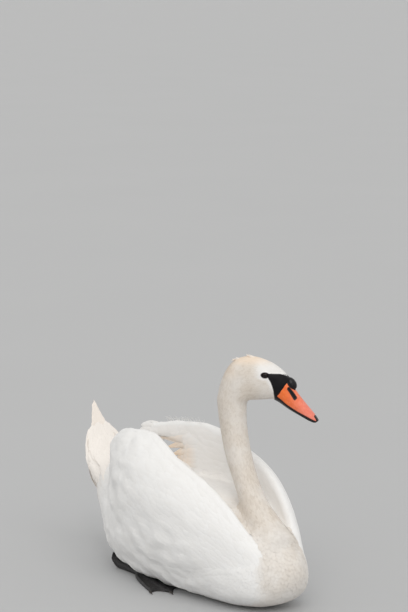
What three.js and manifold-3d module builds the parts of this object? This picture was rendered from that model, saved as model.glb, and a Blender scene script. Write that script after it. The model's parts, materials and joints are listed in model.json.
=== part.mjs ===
// Mute swan resting on its belly, wings arched over the back, head turned to its left.
// Millimetres. +X is the way the breast faces, +Y the bird's left, +Z up.
// The origin lies on the floor under the middle of the belly flat.
import * as THREE from 'three';
import { mergeVertices } from 'three/addons/utils/BufferGeometryUtils.js';
import Module from 'manifold-3d';

const wasm = await Module();
wasm.setup();

// ---------------------------------------------------------------- driving sizes
const GAP = 0.3;                 // clearance left between touching pieces

// trunk sections: keel x, keel z, back x, back z, half width
const TRUNK = [
  [286.5, 72, 285.5, 88, 8],
  [280, 50, 277, 106, 29],
  [266, 29, 256, 124, 53],
  [241, 12, 230, 136, 74],
  [203, 1, 196, 150, 92],
  [150, -5, 152, 178, 107],
  [88, -6, 96, 202, 116],
  [15, -6, 20, 210, 122],
  [-60, -6, -60, 210, 121],
  [-128, -4, -130, 206, 114],
  [-184, 5, -186, 202, 101],
  [-226, 22, -228, 200, 86],
  [-255, 47, -254, 202, 69],
  [-281, 82, -276, 206, 58],
  [-306, 121, -295, 210, 51],
  [-329, 158, -309, 215, 47],
  [-348, 192, -322, 226, 44],
  [-358, 221, -335, 240, 34],
  [-361, 240, -344, 250, 17],
];
const TRUNK_WAIST = 0.43;        // height of the widest line between keel and back
const TRUNK_POWER = 2.35;        // squareness of the sections
const TRUNK_STEPS = 20;
const TRUNK_POINTS = 24;

// neck sections from breast to nape: centre x, centre z, lean in degrees, half depth, half width
const NECK = [
  [224, 80, 62, 58, 60],
  [217, 106, 52, 53, 54],
  [205, 133, 44, 43, 45],
  [186, 160, 39, 33.5, 35],
  [160, 192, 34, 27.5, 28.5],
  [140, 224, 29, 25.5, 26],
  [121, 260, 24, 26, 26],
  [106, 295, 17, 26.5, 26],
  [96, 332, 10, 27.5, 26.5],
  [90.5, 367, 3, 29, 27.5],
  [89, 390, -3, 30, 28.5],
];
const NECK_TOP = [89.5, 391, -3];  // parting between neck and head
const NECK_STEPS = 16;
const NECK_POINTS = 16;
const NECK_CUTS = [[192, 152, 42], [117, 268, 23], [92, 354, 6]];   // x, z and lean of the partings

// head, in its own plane: forward reach s and height z of crown line and throat line, half width
const HEAD_AT = [90, 0];         // where the head's plane stands
const HEAD_TURN = 42;            // degrees to the bird's left
const HEAD = [
  [-29, 394, 30, 383, 28.5],
  [-25, 414, 33, 386.5, 29.5],
  [-17.5, 436, 37, 388.5, 30.5],
  [-6, 457, 42, 389, 31],
  [13, 472, 48, 389, 31],
  [38, 476, 56, 389.5, 31],
  [61, 471, 64, 390.5, 30],
  [81, 462.5, 73, 391.5, 27],
  [98, 451, 81, 392, 23],
  [112, 436, 90, 390, 19.4],
  [120, 422, 100, 384, 18],
];
// bill, same layout: culmen line and chin line, half width
const BILL = [
  [98, 451, 79, 391.5, 21],
  [112, 434.5, 88.5, 388.5, 19.3],
  [122, 414.5, 101, 380, 18.2],
  [134, 397.5, 115, 371, 17.6],
  [147, 382, 130, 363, 17.4],
  [157.5, 369.5, 143, 356, 16.8],
  [165, 360, 153, 351, 14.2],
  [169.3, 353.2, 161.5, 348.4, 9],
];
const HEAD_STEPS = 13;
const HEAD_POINTS = 18;
const BILL_STEPS = 10;
const BILL_POINTS = 14;
const HEAD_POWER = 2.15;         // squareness of the head and bill sections
const FACE = [97.5, 413, 35];      // s, z and lean of the parting between head and bill
const BILL_LIP = 0.2;            // share of the bill's depth taken by the lower half
const NAIL_FROM = [158.5, 358];  // s and z where the nail begins
const NAIL = { long: 40, wide: 17, deep: 60, lean: 38 };
const KNOB = { s: 115.5, z: 423.5, along: 14, across: 9.5, side: 10.5, tip: 56 };
const EYE = { s: 68, z: 443, radius: 7.4, side: 22.4 };

// wing sections at station x: crest y, crest z, bulge y, bulge z, lip y, lip z
const WING = [
  [-249, 36, 247, 43, 224, 40, 206],
  [-240, 40, 268, 52, 221, 48, 184],
  [-216, 45, 286, 76, 214, 73, 143],
  [-186, 53, 297, 96, 206, 94, 106],
  [-150, 58, 302, 116, 198, 110, 80],
  [-105, 57, 306, 134, 192, 118, 70],
  [-55, 64, 303, 143, 186, 122, 66],
  [0, 77, 282, 146, 180, 124, 66],
  [55, 81, 264, 142, 171, 126, 64],
  [105, 76, 244, 130, 155, 123, 70],
  [150, 69, 215, 112, 138, 112, 80],
  [190, 59, 179, 91, 125, 97, 90],
  [222, 51, 143, 72, 111, 79, 95],
  [246, 44, 117, 55, 107, 61, 100],
];
const WING_STEPS = 16;
const WING_POINTS = { low: 5, high: 7 };   // points round the outer face below and above the bulge
const CREST_THICK = 5;           // thickness of the wing at its crest
const WING_DEPTH = { belowCrest: 34, intoTrunk: 26, aboveLip: 8 };   // how far down the inner face reaches
const CREST_ROOT = [26, 5, -18]; // where a raised tip starts: ahead, outward and below the crest
// feather tips standing out of the crest: share of the wing's length, reach back and up, half width
const CREST_TIPS = [[0.12, 13, -10, 12], [0.2, 13, -7, 12], [0.28, 13, -5, 12], [0.36, 12, -4, 11]];

// opening behind the left wing's inner feathers
const WINDOW = { front: -139, rear: -262, low: 219, high: 257 };
const TERTIALS = [[-96, 71, 250, -164, 66, 252, 11], [-96, 73, 236, -170, 65, 237, 11], [-96, 75, 223, -160, 67, 221, 10]];
// the left wing's hindmost raised feathers
const REAR_TIPS = [[-205, 50, 274, -266, 44, 277, 12], [-196, 53, 282, -248, 47, 286, 12]];

// tail fan, a plate of overlapping feathers leaning back
const TAIL = { x: -301, z: 150, lean: 65, reach: 184, spread: 27, feathers: 11, rootWide: 16, seat: 1.1 };
const TAIL_REACH = [[1], [0.88], [0.77], [0.67], [0.63], [0.58], [0.5]];   // from the middle pair outwards
// folded wing tips lying over the rump: root, then tip
const PRIMARY = { root: [-78, 30, 214], tip: [-246, 22, 236], wide: 34, thick: 9, tips: 4 };

// shank and web, lying under the flank
const SHANK = [[-208, 62, 22, 17], [-203, 61, 9, 9.5], [-170, 62, 6.5, 7], [-135, 64, 5.5, 6.5], [-124, 65.5, 5, 8]];
const FOOT = { x: -121, y: 67, reach: 138, half: 29, thick: 4.2, heel: 12, toe: 4.6, turn: 9, fan: 0.07 };

// ---------------------------------------------------------------- small tools
const rad = (d) => (d * Math.PI) / 180;
const lerp = (a, b, t) => a + (b - a) * t;
const powc = (v, p) => Math.sign(v) * Math.abs(v) ** p;

// smooth reading between the rows of a table, t counted in rows
function readRow(rows, t) {
  const last = rows.length - 1;
  const i = Math.min(Math.max(Math.floor(t), 0), last - 1);
  const f = t - i;
  const at = (k) => rows[Math.min(Math.max(k, 0), last)];
  return rows[i].map((_, c) => {
    const [p0, p1, p2, p3] = [at(i - 1)[c], at(i)[c], at(i + 1)[c], at(i + 2)[c]];
    const m1 = (p2 - p0) / 2;
    const m2 = (p3 - p1) / 2;
    const f2 = f * f;
    const f3 = f2 * f;
    return (2 * f3 - 3 * f2 + 1) * p1 + (f3 - 2 * f2 + f) * m1 + (-2 * f3 + 3 * f2) * p2 + (f3 - f2) * m2;
  });
}

// closed skin over a run of rings that all have the same number of points
function loft(rings) {
  const n = rings[0].length;
  const pos = [];
  const idx = [];
  rings.forEach((ring) => ring.forEach((p) => pos.push(...p)));
  for (let i = 0; i < rings.length - 1; i += 1) {
    for (let j = 0; j < n; j += 1) {
      const a = i * n + j;
      const b = i * n + ((j + 1) % n);
      idx.push(a, b, b + n, a, b + n, a + n);
    }
  }
  [[0, 1], [rings.length - 1, -1]].forEach(([row, turn]) => {
    const ring = rings[row];
    const mid = [0, 1, 2].map((c) => ring.reduce((s, p) => s + p[c], 0) / n);
    const m = pos.length / 3;
    pos.push(...mid);
    for (let j = 0; j < n; j += 1) {
      const a = row * n + j;
      const b = row * n + ((j + 1) % n);
      if (turn > 0) idx.push(m, b, a);
      else idx.push(m, a, b);
    }
  });
  return solid(pos, idx);
}

// closed plate between an upper and a lower grid of points, walled round its edge
function plate(top, low) {
  const rows = top.length - 1;
  const cols = top[0].length - 1;
  const pos = [...top, ...low].flat(2);
  const idx = [];
  const at = (i, j, under) => (under * (rows + 1) + i) * (cols + 1) + j;
  const quad = (a, b, c, d) => idx.push(a, b, c, a, c, d);
  for (let i = 0; i < rows; i += 1) {
    for (let j = 0; j < cols; j += 1) {
      quad(at(i, j, 0), at(i, j + 1, 0), at(i + 1, j + 1, 0), at(i + 1, j, 0));
      quad(at(i, j, 1), at(i + 1, j, 1), at(i + 1, j + 1, 1), at(i, j + 1, 1));
    }
  }
  for (let j = 0; j < cols; j += 1) {
    quad(at(0, j, 1), at(0, j + 1, 1), at(0, j + 1, 0), at(0, j, 0));
    quad(at(rows, j, 0), at(rows, j + 1, 0), at(rows, j + 1, 1), at(rows, j, 1));
  }
  for (let i = 0; i < rows; i += 1) {
    quad(at(i, 0, 0), at(i + 1, 0, 0), at(i + 1, 0, 1), at(i, 0, 1));
    quad(at(i, cols, 1), at(i + 1, cols, 1), at(i + 1, cols, 0), at(i, cols, 0));
  }
  return solid(pos, idx);
}

// signed volume decides which way the faces are wound
function solid(pos, idx) {
  let vol = 0;
  for (let k = 0; k < idx.length; k += 3) {
    const [a, b, c] = [idx[k], idx[k + 1], idx[k + 2]].map((i) => new THREE.Vector3(pos[3 * i], pos[3 * i + 1], pos[3 * i + 2]));
    vol += a.dot(b.cross(c));
  }
  if (vol < 0) for (let k = 0; k < idx.length; k += 3) [idx[k + 1], idx[k + 2]] = [idx[k + 2], idx[k + 1]];
  const geo = new THREE.BufferGeometry();
  geo.setAttribute('position', new THREE.Float32BufferAttribute(pos, 3));
  geo.setIndex(idx);
  return toSolid(geo);
}

function toSolid(geo) {
  let g = geo.clone();
  g.deleteAttribute('normal');
  g.deleteAttribute('uv');
  g = mergeVertices(g, 1e-4);
  const mesh = new wasm.Mesh({
    numProp: 3,
    vertProperties: new Float32Array(g.attributes.position.array),
    triVerts: new Uint32Array(g.index.array),
  });
  return new wasm.Manifold(mesh);
}

function toGeometry(body) {
  const mesh = body.getMesh();
  const g = new THREE.BufferGeometry();
  g.setAttribute('position', new THREE.Float32BufferAttribute(new Float32Array(mesh.vertProperties), 3));
  g.setIndex(new THREE.Uint32BufferAttribute(new Uint32Array(mesh.triVerts), 1));
  const flat = g.toNonIndexed();
  flat.computeVertexNormals();
  return flat;
}

function block(sx, sy, sz, x, y, z, tiltY = 0) {
  const g = new THREE.BoxGeometry(sx, sy, sz);
  g.applyMatrix4(new THREE.Matrix4().makeRotationY(rad(tiltY)));
  g.translate(x, y, z);
  return toSolid(g);
}

function ball(r, x, y, z, across = 12, down = 8) {
  const g = new THREE.SphereGeometry(r, across, down);
  g.translate(x, y, z);
  return toSolid(g);
}

// the half of space in front of (or behind) a leaning plane across the neck
function halfSpace(x, z, lean, side) {
  const s = 1200;
  const a = rad(lean);
  const up = [-Math.sin(a), Math.cos(a)];
  const off = side * (s / 2 + GAP / 2);
  return block(s, s, s, x + up[0] * off, 0, z + up[1] * off, -lean);
}

// ---------------------------------------------------------------- trunk
function trunkRing(row, grow) {
  const [bx, bz, tx, tz, w] = row;
  const len = Math.hypot(tx - bx, tz - bz);
  const ux = (tx - bx) / len;
  const uz = (tz - bz) / len;
  const low = len * TRUNK_WAIST + grow;
  const high = len * (1 - TRUNK_WAIST) + grow;
  const mx = bx + ux * len * TRUNK_WAIST;
  const mz = bz + uz * len * TRUNK_WAIST;
  const ring = [];
  for (let k = 0; k < TRUNK_POINTS; k += 1) {
    const a = (2 * Math.PI * k) / TRUNK_POINTS;
    const y = (w + grow) * powc(Math.cos(a), 2 / TRUNK_POWER);
    const v = powc(Math.sin(a), 2 / TRUNK_POWER);
    const h = v > 0 ? v * high : v * low;
    ring.push([mx + ux * h, y, mz + uz * h]);
  }
  return ring;
}

function trunkSolid(grow) {
  const rings = [];
  for (let i = 0; i <= TRUNK_STEPS; i += 1) {
    rings.push(trunkRing(readRow(TRUNK, (i * (TRUNK.length - 1)) / TRUNK_STEPS), grow));
  }
  if (grow > 0) {
    rings[0].forEach((p) => { p[0] += grow; });
    rings[rings.length - 1].forEach((p) => { p[0] -= grow * 0.5; p[2] += grow; });
  }
  return loft(rings);
}

function neckSolid(grow) {
  const rings = [];
  for (let i = 0; i <= NECK_STEPS; i += 1) {
    const [x, z, lean, depth, wide] = readRow(NECK, (i * (NECK.length - 1)) / NECK_STEPS);
    const a = rad(lean);
    const fwd = [Math.cos(a), Math.sin(a)];
    const ring = [];
    for (let k = 0; k < NECK_POINTS; k += 1) {
      const t = (2 * Math.PI * k) / NECK_POINTS;
      const d = (depth + grow) * powc(Math.cos(t), 0.94);
      ring.push([x + fwd[0] * d, (wide + grow) * powc(Math.sin(t), 0.94), z + fwd[1] * d]);
    }
    rings.push(ring);
  }
  return loft(rings);
}

// ---------------------------------------------------------------- head plane
const turn = rad(HEAD_TURN);
const inHead = (s, side, z) => [
  HEAD_AT[0] + s * Math.cos(turn) - side * Math.sin(turn),
  HEAD_AT[1] + s * Math.sin(turn) + side * Math.cos(turn),
  z,
];

// rings across a row of [top s, top z, low s, low z, half width]
function headRings(rows, steps, n, grow, power) {
  const rings = [];
  for (let i = 0; i <= steps; i += 1) {
    const [ts, tz, bs, bz, w] = readRow(rows, (i * (rows.length - 1)) / steps);
    const ms = (ts + bs) / 2;
    const mz = (tz + bz) / 2;
    const half = Math.hypot(ts - bs, tz - bz) / 2;
    const us = (ts - bs) / (2 * half);
    const uz = (tz - bz) / (2 * half);
    const ring = [];
    for (let k = 0; k < n; k += 1) {
      const a = (2 * Math.PI * k) / n;
      const h = (half + grow) * powc(Math.sin(a), 2 / power);
      ring.push(inHead(ms + us * h, (w + grow) * powc(Math.cos(a), 2 / power), mz + uz * h));
    }
    rings.push(ring);
  }
  return rings;
}

// everything ahead of the leaning plane where the face meets the bill
function faceBlock(back) {
  const size = 240;
  const g = new THREE.BoxGeometry(size, size, size);
  g.translate(size / 2 + back, 0, 0);
  g.applyMatrix4(new THREE.Matrix4().makeRotationY(rad(FACE[2])));
  g.applyMatrix4(new THREE.Matrix4().makeRotationZ(turn));
  const [x, y, z] = inHead(FACE[0], 0, FACE[1]);
  g.translate(x, y, z);
  return toSolid(g);
}

function knobSolid(grow) {
  const g = new THREE.SphereGeometry(1, 14, 10);
  g.scale(KNOB.along + grow, KNOB.side + grow, KNOB.across + grow);
  g.applyMatrix4(new THREE.Matrix4().makeRotationY(rad(KNOB.tip)));
  g.applyMatrix4(new THREE.Matrix4().makeRotationZ(turn));
  const [x, y, z] = inHead(KNOB.s, 0, KNOB.z);
  g.translate(x, y, z);
  return toSolid(g);
}

// ---------------------------------------------------------------- wings
function wingRing(x, row, side) {
  const [, cy, cz, by, bz, ly, lz] = row;
  const ring = [];
  const { low: nLow, high: nUp } = WING_POINTS;
  for (let k = 0; k <= nLow; k += 1) {
    const a = (Math.PI / 2) * (k / nLow);
    ring.push([x, lerp(ly, by, Math.sin(a) ** 1.1), lerp(bz, lz, Math.cos(a))]);
  }
  for (let k = 1; k <= nUp; k += 1) {
    const a = (Math.PI / 2) * (k / nUp);
    ring.push([x, lerp(cy, by, Math.cos(a) ** 1.2), lerp(bz, cz, Math.sin(a) ** 1.08)]);
  }
  const inTop = cy - CREST_THICK;
  const { belowCrest, intoTrunk, aboveLip } = WING_DEPTH;
  const floorZ = Math.max(Math.min(cz - belowCrest, trunkTop(x) - intoTrunk), lz + aboveLip);
  ring.push([x, inTop, cz - 2]);
  ring.push([x, inTop - 3, lerp(cz, floorZ, 0.22)]);
  ring.push([x, inTop - 5, lerp(cz, floorZ, 0.5)]);
  ring.push([x, inTop - 4, floorZ]);
  ring.push([x, lerp(inTop, ly, 0.5), lerp(floorZ, lz, 0.8)]);
  return ring.map(([px, py, pz]) => [px, py * side, pz]);
}

function trunkTop(x) {
  for (let i = 0; i < TRUNK.length - 1; i += 1) {
    const [, , ax, az] = TRUNK[i];
    const [, , bx, bz] = TRUNK[i + 1];
    if (x <= ax && x >= bx) return lerp(az, bz, (ax - x) / (ax - bx));
  }
  return x > 0 ? TRUNK[0][3] : TRUNK[TRUNK.length - 1][3];
}

function wingSolid(side) {
  const rings = [];
  const span = WING.length - 1;
  for (let i = 0; i <= WING_STEPS; i += 1) {
    const row = readRow(WING, (i * span) / WING_STEPS);
    const x = row[0];
    rings.push(wingRing(x, row, side));
  }
  return CREST_TIPS.reduce((sum, [share, back, up, wide]) => {
    const [x, cy, cz] = readRow(WING, share * span);
    const [ahead, out, below] = CREST_ROOT;
    const f = [x + ahead, side * (cy + out), cz + below, x - back, side * cy, cz + up, wide];
    return sum.add(featherSolid(f, 4));
  }, loft(rings));
}

// a single pointed feather: root and tip points, half width up the z axis
function featherSolid([rx, ry, rz, tx, ty, tz, wide], thick) {
  const rings = [];
  const steps = 4;
  for (let i = 0; i <= steps; i += 1) {
    const t = i / steps;
    const w = wide * Math.max(Math.min(1, 2.6 * (1 - t)) ** 0.6, 0.12);
    const c = [lerp(rx, tx, t), lerp(ry, ty, t), lerp(rz, tz, t)];
    const th = (thick / 2) * Math.max(1 - t * 0.75, 0.2);
    rings.push([
      [c[0], c[1], c[2] - w], [c[0], c[1] + th, c[2] - w * 0.4], [c[0], c[1] + th, c[2] + w * 0.4],
      [c[0], c[1], c[2] + w], [c[0], c[1] - th, c[2] + w * 0.4], [c[0], c[1] - th, c[2] - w * 0.4],
    ]);
  }
  return loft(rings);
}

// ---------------------------------------------------------------- tail fan
function tailSolid(grow) {
  const per = grow > 0 ? 1 : 3;
  const cols = TAIL.feathers * per;
  const rows = grow > 0 ? 3 : 5;
  const a = rad(TAIL.lean);
  const back = [-Math.cos(a), 0, Math.sin(a)];
  const up = [Math.sin(a), 0, Math.cos(a)];
  const top = [];
  const low = [];
  for (let i = 0; i <= rows; i += 1) {
    const t = i / rows;
    top.push([]);
    low.push([]);
    for (let j = 0; j <= cols; j += 1) {
      const u = (2 * j) / cols - 1;
      const phi = rad(TAIL.spread) * u;
      const cell = grow > 0 ? 0 : ((j % per) / per - 0.5) * 2;
      const tipDrop = 7 * cell * cell;
      const reach = TAIL.reach * readRow(TAIL_REACH, Math.abs(u) * (TAIL_REACH.length - 1))[0] - tipDrop;
      const start = 4;
      const r = lerp(start, reach, t) + grow * (i === rows ? 1 : 0) - grow * (i === 0 ? 1 : 0);
      const edge = 6 * grow * ((j === cols ? 1 : 0) - (j === 0 ? 1 : 0));
      const w = Math.sin(phi) * r * 0.8 + u * TAIL.rootWide * (1 - 0.5 * t) + edge;
      const ahead = r * lerp(1, Math.cos(phi), 0.35);
      const arch = -0.0026 * w * w;
      const thick = lerp(9, 1.6, t ** 0.8) * (1 - 0.45 * Math.abs(u) ** 3);
      const ridge = (1 - Math.abs(u)) * 0.6 + cell * 0.35;
      const base = [TAIL.x + back[0] * ahead, w, TAIL.z + back[2] * ahead];
      const hi = arch + ridge + thick / 2 + grow;
      const lo = arch - thick / 2 - grow;
      top[i].push([base[0] + up[0] * hi, w, base[2] + up[2] * hi]);
      low[i].push([base[0] + up[0] * lo, w, base[2] + up[2] * lo]);
    }
  }
  return plate(top, low);
}

// ---------------------------------------------------------------- folded wing tips
function primarySolid(side) {
  const steps = 11;
  const rings = [];
  const { root, tip, wide, thick, tips } = PRIMARY;
  for (let i = 0; i <= steps; i += 1) {
    const t = i / steps;
    const c = [0, 1, 2].map((k) => lerp(root[k], tip[k], t));
    c[2] += 9 * Math.sin(Math.PI * t);
    const stepDown = Math.floor(t * tips * 0.999) / tips;
    const w = (wide / 2) * Math.sqrt(Math.max(1 - t ** 3, 0.03)) * (1 - 0.12 * (t * tips - stepDown * tips));
    const th = (thick / 2) * (1 - 0.72 * t);
    const ring = [];
    for (let k = 0; k < 8; k += 1) {
      const a = (2 * Math.PI * k) / 8;
      ring.push([c[0], side * (c[1] + w * Math.cos(a) * 0.86), c[2] + th * Math.sin(a) - 0.5 * w * Math.cos(a)]);
    }
    rings.push(ring);
  }
  return loft(rings);
}

// ---------------------------------------------------------------- shank and web
function shankSolid(side) {
  const rings = [];
  const steps = 8;
  for (let i = 0; i <= steps; i += 1) {
    const [x, y, z, r] = readRow(SHANK, (i * (SHANK.length - 1)) / steps);
    const ring = [];
    for (let k = 0; k < 10; k += 1) {
      const a = (2 * Math.PI * k) / 10;
      ring.push([x, side * (y + r * 0.9 * Math.cos(a)), z + r * Math.sin(a)]);
    }
    rings.push(ring);
  }
  return loft(rings);
}

function footSolid(side) {
  const cols = 15;
  const rows = 5;
  const top = [];
  const low = [];
  for (let i = 0; i <= rows; i += 1) {
    const t = i / rows;
    const lineTop = [];
    const lineLow = [];
    for (let j = 0; j <= cols; j += 1) {
      const u = (2 * j) / cols - 1;
      const toe = Math.abs(Math.cos(Math.PI * (u + 1)));
      const reach = FOOT.reach * (1 - 0.16 * Math.abs(u)) * (0.9 + 0.1 * toe ** 3);
      const half = lerp(FOOT.heel, FOOT.half, Math.sin((Math.PI / 2) * t ** 0.8));
      const a = rad(FOOT.turn) + FOOT.fan * u * t;
      const px = t * reach;
      const py = u * half;
      const x = FOOT.x + px * Math.cos(a) - py * Math.sin(a);
      const y = FOOT.y + px * Math.sin(a) + py * Math.cos(a);
      const h = lerp(FOOT.thick * 1.6, FOOT.thick * 0.7, t) + FOOT.toe * toe ** 4 * (1 - 0.55 * t);
      lineTop.push([x, side * y, Math.max(h, 1)]);
      lineLow.push([x, side * y, 0]);
    }
    top.push(lineTop);
    low.push(lineLow);
  }
  return plate(top, low);
}

// ---------------------------------------------------------------- assembly
const swan = new THREE.Group();
swan.name = 'mute_swan';
const skins = {
  plumage: [0xf1ece3, 0.85, 0],
  cream: [0xe6dccb, 0.88, 0],
  orange: [0xe0622c, 0.45, 0],
  black: [0x17161a, 0.5, 0],
  eye: [0x120c0a, 0.08, 0],
  leg: [0x2a2a2d, 0.6, 0],
};
function place(name, body, skin) {
  const [color, roughness, metalness] = skins[skin];
  const mesh = new THREE.Mesh(toGeometry(body), new THREE.MeshStandardMaterial({ color, roughness, metalness }));
  mesh.name = name;
  swan.add(mesh);
}

const aboveFloor = block(1400, 700, 900, 0, 0, 450);
const trunkFull = trunkSolid(0);
const trunkRoom = trunkSolid(GAP);
const neckFull = neckSolid(0);
const neckRoom = neckSolid(GAP);
const tail = tailSolid(0);
const tailRoom = tailSolid(TAIL.seat);
const billFull = loft(headRings(BILL, BILL_STEPS, BILL_POINTS, 0, HEAD_POWER)).intersect(faceBlock(GAP));
const knob = knobSolid(0);
const knobRoom = knobSolid(GAP);
const headFull = loft(headRings(HEAD, HEAD_STEPS, HEAD_POINTS, 0, HEAD_POWER));

// head: cheeks and crown, with eye sockets and the seat of the bill and knob
let head = headFull.subtract(halfSpace(NECK_TOP[0], NECK_TOP[1], NECK_TOP[2], -1)).subtract(faceBlock(0));
head = head.subtract(knobRoom);
const eyes = {};
[['left', 1], ['right', -1]].forEach(([word, side]) => {
  const [x, y, z] = inHead(EYE.s, EYE.side * side, EYE.z);
  eyes[word] = ball(EYE.radius, x, y, z);
  head = head.subtract(ball(EYE.radius + GAP, x, y, z));
});

// bill: the lower half is parted along the gape, the nail across the tip
const lipRows = (share, rows) => rows.map(([ts, tz, bs, bz, w]) => [lerp(bs, ts, share), lerp(bz, tz, share), bs - 6, bz - 9, w + 8]);
const lowerCut = loft(headRings(lipRows(BILL_LIP, BILL), 10, 12, 0, 14));
const lowerRoom = loft(headRings(lipRows(BILL_LIP, BILL), 10, 12, GAP, 14));
const [nx, ny, nz] = inHead(NAIL_FROM[0] + NAIL.long / 2, 0, NAIL_FROM[1] - 6);
const nailBlock = (grow) => {
  const g = new THREE.BoxGeometry(NAIL.long + 2 * grow, NAIL.wide + 2 * grow, NAIL.deep);
  g.applyMatrix4(new THREE.Matrix4().makeRotationY(rad(NAIL.lean)));
  g.applyMatrix4(new THREE.Matrix4().makeRotationZ(turn));
  g.translate(nx, ny, nz);
  return toSolid(g);
};
let upper = billFull.subtract(lowerRoom).subtract(knobRoom);
const lower = billFull.intersect(lowerCut);
const nail = upper.intersect(nailBlock(0));
upper = upper.subtract(nailBlock(GAP));

// neck in three lengths, trunk cut off along the lowest parting
const neckAbove = (k) => halfSpace(NECK_CUTS[k][0], NECK_CUTS[k][1], NECK_CUTS[k][2], 1);
const neckBelow = (k) => halfSpace(NECK_CUTS[k][0], NECK_CUTS[k][1], NECK_CUTS[k][2], -1);
const neckLower = neckFull.intersect(neckAbove(0)).intersect(neckBelow(1)).subtract(trunkRoom);
const neckMiddle = neckFull.intersect(neckAbove(1)).intersect(neckBelow(2));
const neckUpper = neckFull.intersect(neckAbove(2)).intersect(halfSpace(NECK_TOP[0], NECK_TOP[1], NECK_TOP[2], -1));
let trunk = trunkFull.add(neckFull.intersect(neckBelow(0)));
trunk = trunk.subtract(tailRoom).intersect(aboveFloor);

// wings, fitted round the trunk
const wings = {};
[['left', 1], ['right', -1]].forEach(([word, side]) => {
  let wing = wingSolid(side);
  if (side > 0) {
    const w = WINDOW;
    wing = wing.subtract(block(w.front - w.rear, 200, w.high - w.low, (w.front + w.rear) / 2, 100, (w.high + w.low) / 2));
    TERTIALS.forEach((f) => { wing = wing.add(featherSolid(f, 7)); });
    REAR_TIPS.forEach((f) => { wing = wing.add(featherSolid(f, 5)); });
  }
  wings[word] = wing.subtract(trunkRoom).subtract(neckRoom).subtract(tailRoom);
});

place('trunk', trunk, 'plumage');
place('neck_lower', neckLower, 'cream');
place('neck_middle', neckMiddle, 'cream');
place('neck_upper', neckUpper, 'cream');
place('head', head, 'cream');
place('bill_upper', upper, 'orange');
place('bill_lower', lower, 'black');
place('bill_nail', nail, 'black');
place('bill_knob', knob, 'black');
place('eye_left', eyes.left, 'eye');
place('eye_right', eyes.right, 'eye');
place('tail_fan', tail, 'plumage');
[['left', 1], ['right', -1]].forEach(([word, side]) => {
  place(`wing_${word}`, wings[word], 'plumage');
  const tips = primarySolid(side).subtract(trunkRoom).subtract(tailRoom);
  place(`primaries_${word}`, tips, 'plumage');
  const shank = shankSolid(side).intersect(aboveFloor).subtract(trunkRoom);
  place(`foot_${word}`, footSolid(side).subtract(trunkRoom), 'leg');
  place(`shank_${word}`, shank, 'leg');
});

export default swan;
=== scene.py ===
import json
import math

import bpy
import numpy as np
from mathutils import Matrix, Vector
from mathutils.bvhtree import BVHTree
from mathutils.kdtree import KDTree
from mathutils.noise import fractal

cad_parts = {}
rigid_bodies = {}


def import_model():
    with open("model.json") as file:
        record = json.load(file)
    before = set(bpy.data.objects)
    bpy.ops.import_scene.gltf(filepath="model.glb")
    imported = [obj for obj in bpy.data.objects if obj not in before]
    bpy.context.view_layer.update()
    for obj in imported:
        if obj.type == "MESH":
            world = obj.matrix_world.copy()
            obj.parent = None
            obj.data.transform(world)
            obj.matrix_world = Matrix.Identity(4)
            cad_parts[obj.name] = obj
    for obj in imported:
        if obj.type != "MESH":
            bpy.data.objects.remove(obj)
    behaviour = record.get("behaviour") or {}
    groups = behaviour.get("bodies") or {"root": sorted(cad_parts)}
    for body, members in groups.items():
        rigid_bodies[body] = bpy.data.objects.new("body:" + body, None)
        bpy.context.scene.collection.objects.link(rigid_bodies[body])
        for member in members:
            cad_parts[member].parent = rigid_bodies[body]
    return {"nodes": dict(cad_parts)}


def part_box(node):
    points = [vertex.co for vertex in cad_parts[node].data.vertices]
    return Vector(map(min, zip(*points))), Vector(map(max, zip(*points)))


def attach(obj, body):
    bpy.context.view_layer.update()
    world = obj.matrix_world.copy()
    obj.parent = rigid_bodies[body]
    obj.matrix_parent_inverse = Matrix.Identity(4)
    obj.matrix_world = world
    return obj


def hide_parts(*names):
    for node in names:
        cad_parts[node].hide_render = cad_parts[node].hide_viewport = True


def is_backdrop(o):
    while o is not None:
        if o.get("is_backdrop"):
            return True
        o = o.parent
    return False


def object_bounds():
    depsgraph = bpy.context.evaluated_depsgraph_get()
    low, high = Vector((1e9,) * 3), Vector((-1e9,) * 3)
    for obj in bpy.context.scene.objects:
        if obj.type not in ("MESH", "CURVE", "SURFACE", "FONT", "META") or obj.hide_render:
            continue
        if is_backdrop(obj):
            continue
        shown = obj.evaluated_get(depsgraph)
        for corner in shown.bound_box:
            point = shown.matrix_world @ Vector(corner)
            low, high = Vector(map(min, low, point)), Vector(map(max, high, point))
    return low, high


# ------------------------------------------------------------------ frame, camera, floor and light
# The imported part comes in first. The camera stands ahead of the bird and to its right,
# a long way off with a long lens. The floor is pale grey paint under an even, soft light.
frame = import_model()
cad_low, cad_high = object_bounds()
scene = bpy.context.scene
bpy.ops.object.select_all(action="DESELECT")

STAND_OFF = Vector((3.410, -2.627, 0.977))   # from the middle of the part's box to the lens
HEADING = 52.0                               # degrees, turned left from +Y
DOWNWARD = 8.7126                            # degrees below level
LENS = 130.0

bpy.ops.object.camera_add(location=(cad_low + cad_high) / 2 + STAND_OFF)
camera = bpy.context.active_object
camera.name = "camera"
camera.rotation_euler = (math.radians(90 - DOWNWARD), 0, math.radians(HEADING))
camera.data.lens = LENS
camera.data.sensor_width = 36.0
camera.data.clip_end = 400.0
scene.camera = camera

FLOOR_SIZE = 260.0
FLOOR_COLOUR = (0.50, 0.505, 0.51, 1)
FLOOR_PALER = (0.515, 0.52, 0.525, 1)


def add_node(tree, kind, inputs=None, **settings):
    """A new shader node; each of its inputs is linked to a socket or set to a value."""
    made = tree.nodes.new("ShaderNode" + kind)
    for name, value in settings.items():
        setattr(made, name, value)
    for socket, value in (inputs or {}).items():
        if isinstance(value, bpy.types.NodeSocket):
            tree.links.new(value, made.inputs[socket])
        else:
            made.inputs[socket].default_value = value
    return made


def maths(tree, operation, *inputs):
    return add_node(tree, "Math", dict(enumerate(inputs)), operation=operation).outputs[0]


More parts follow.
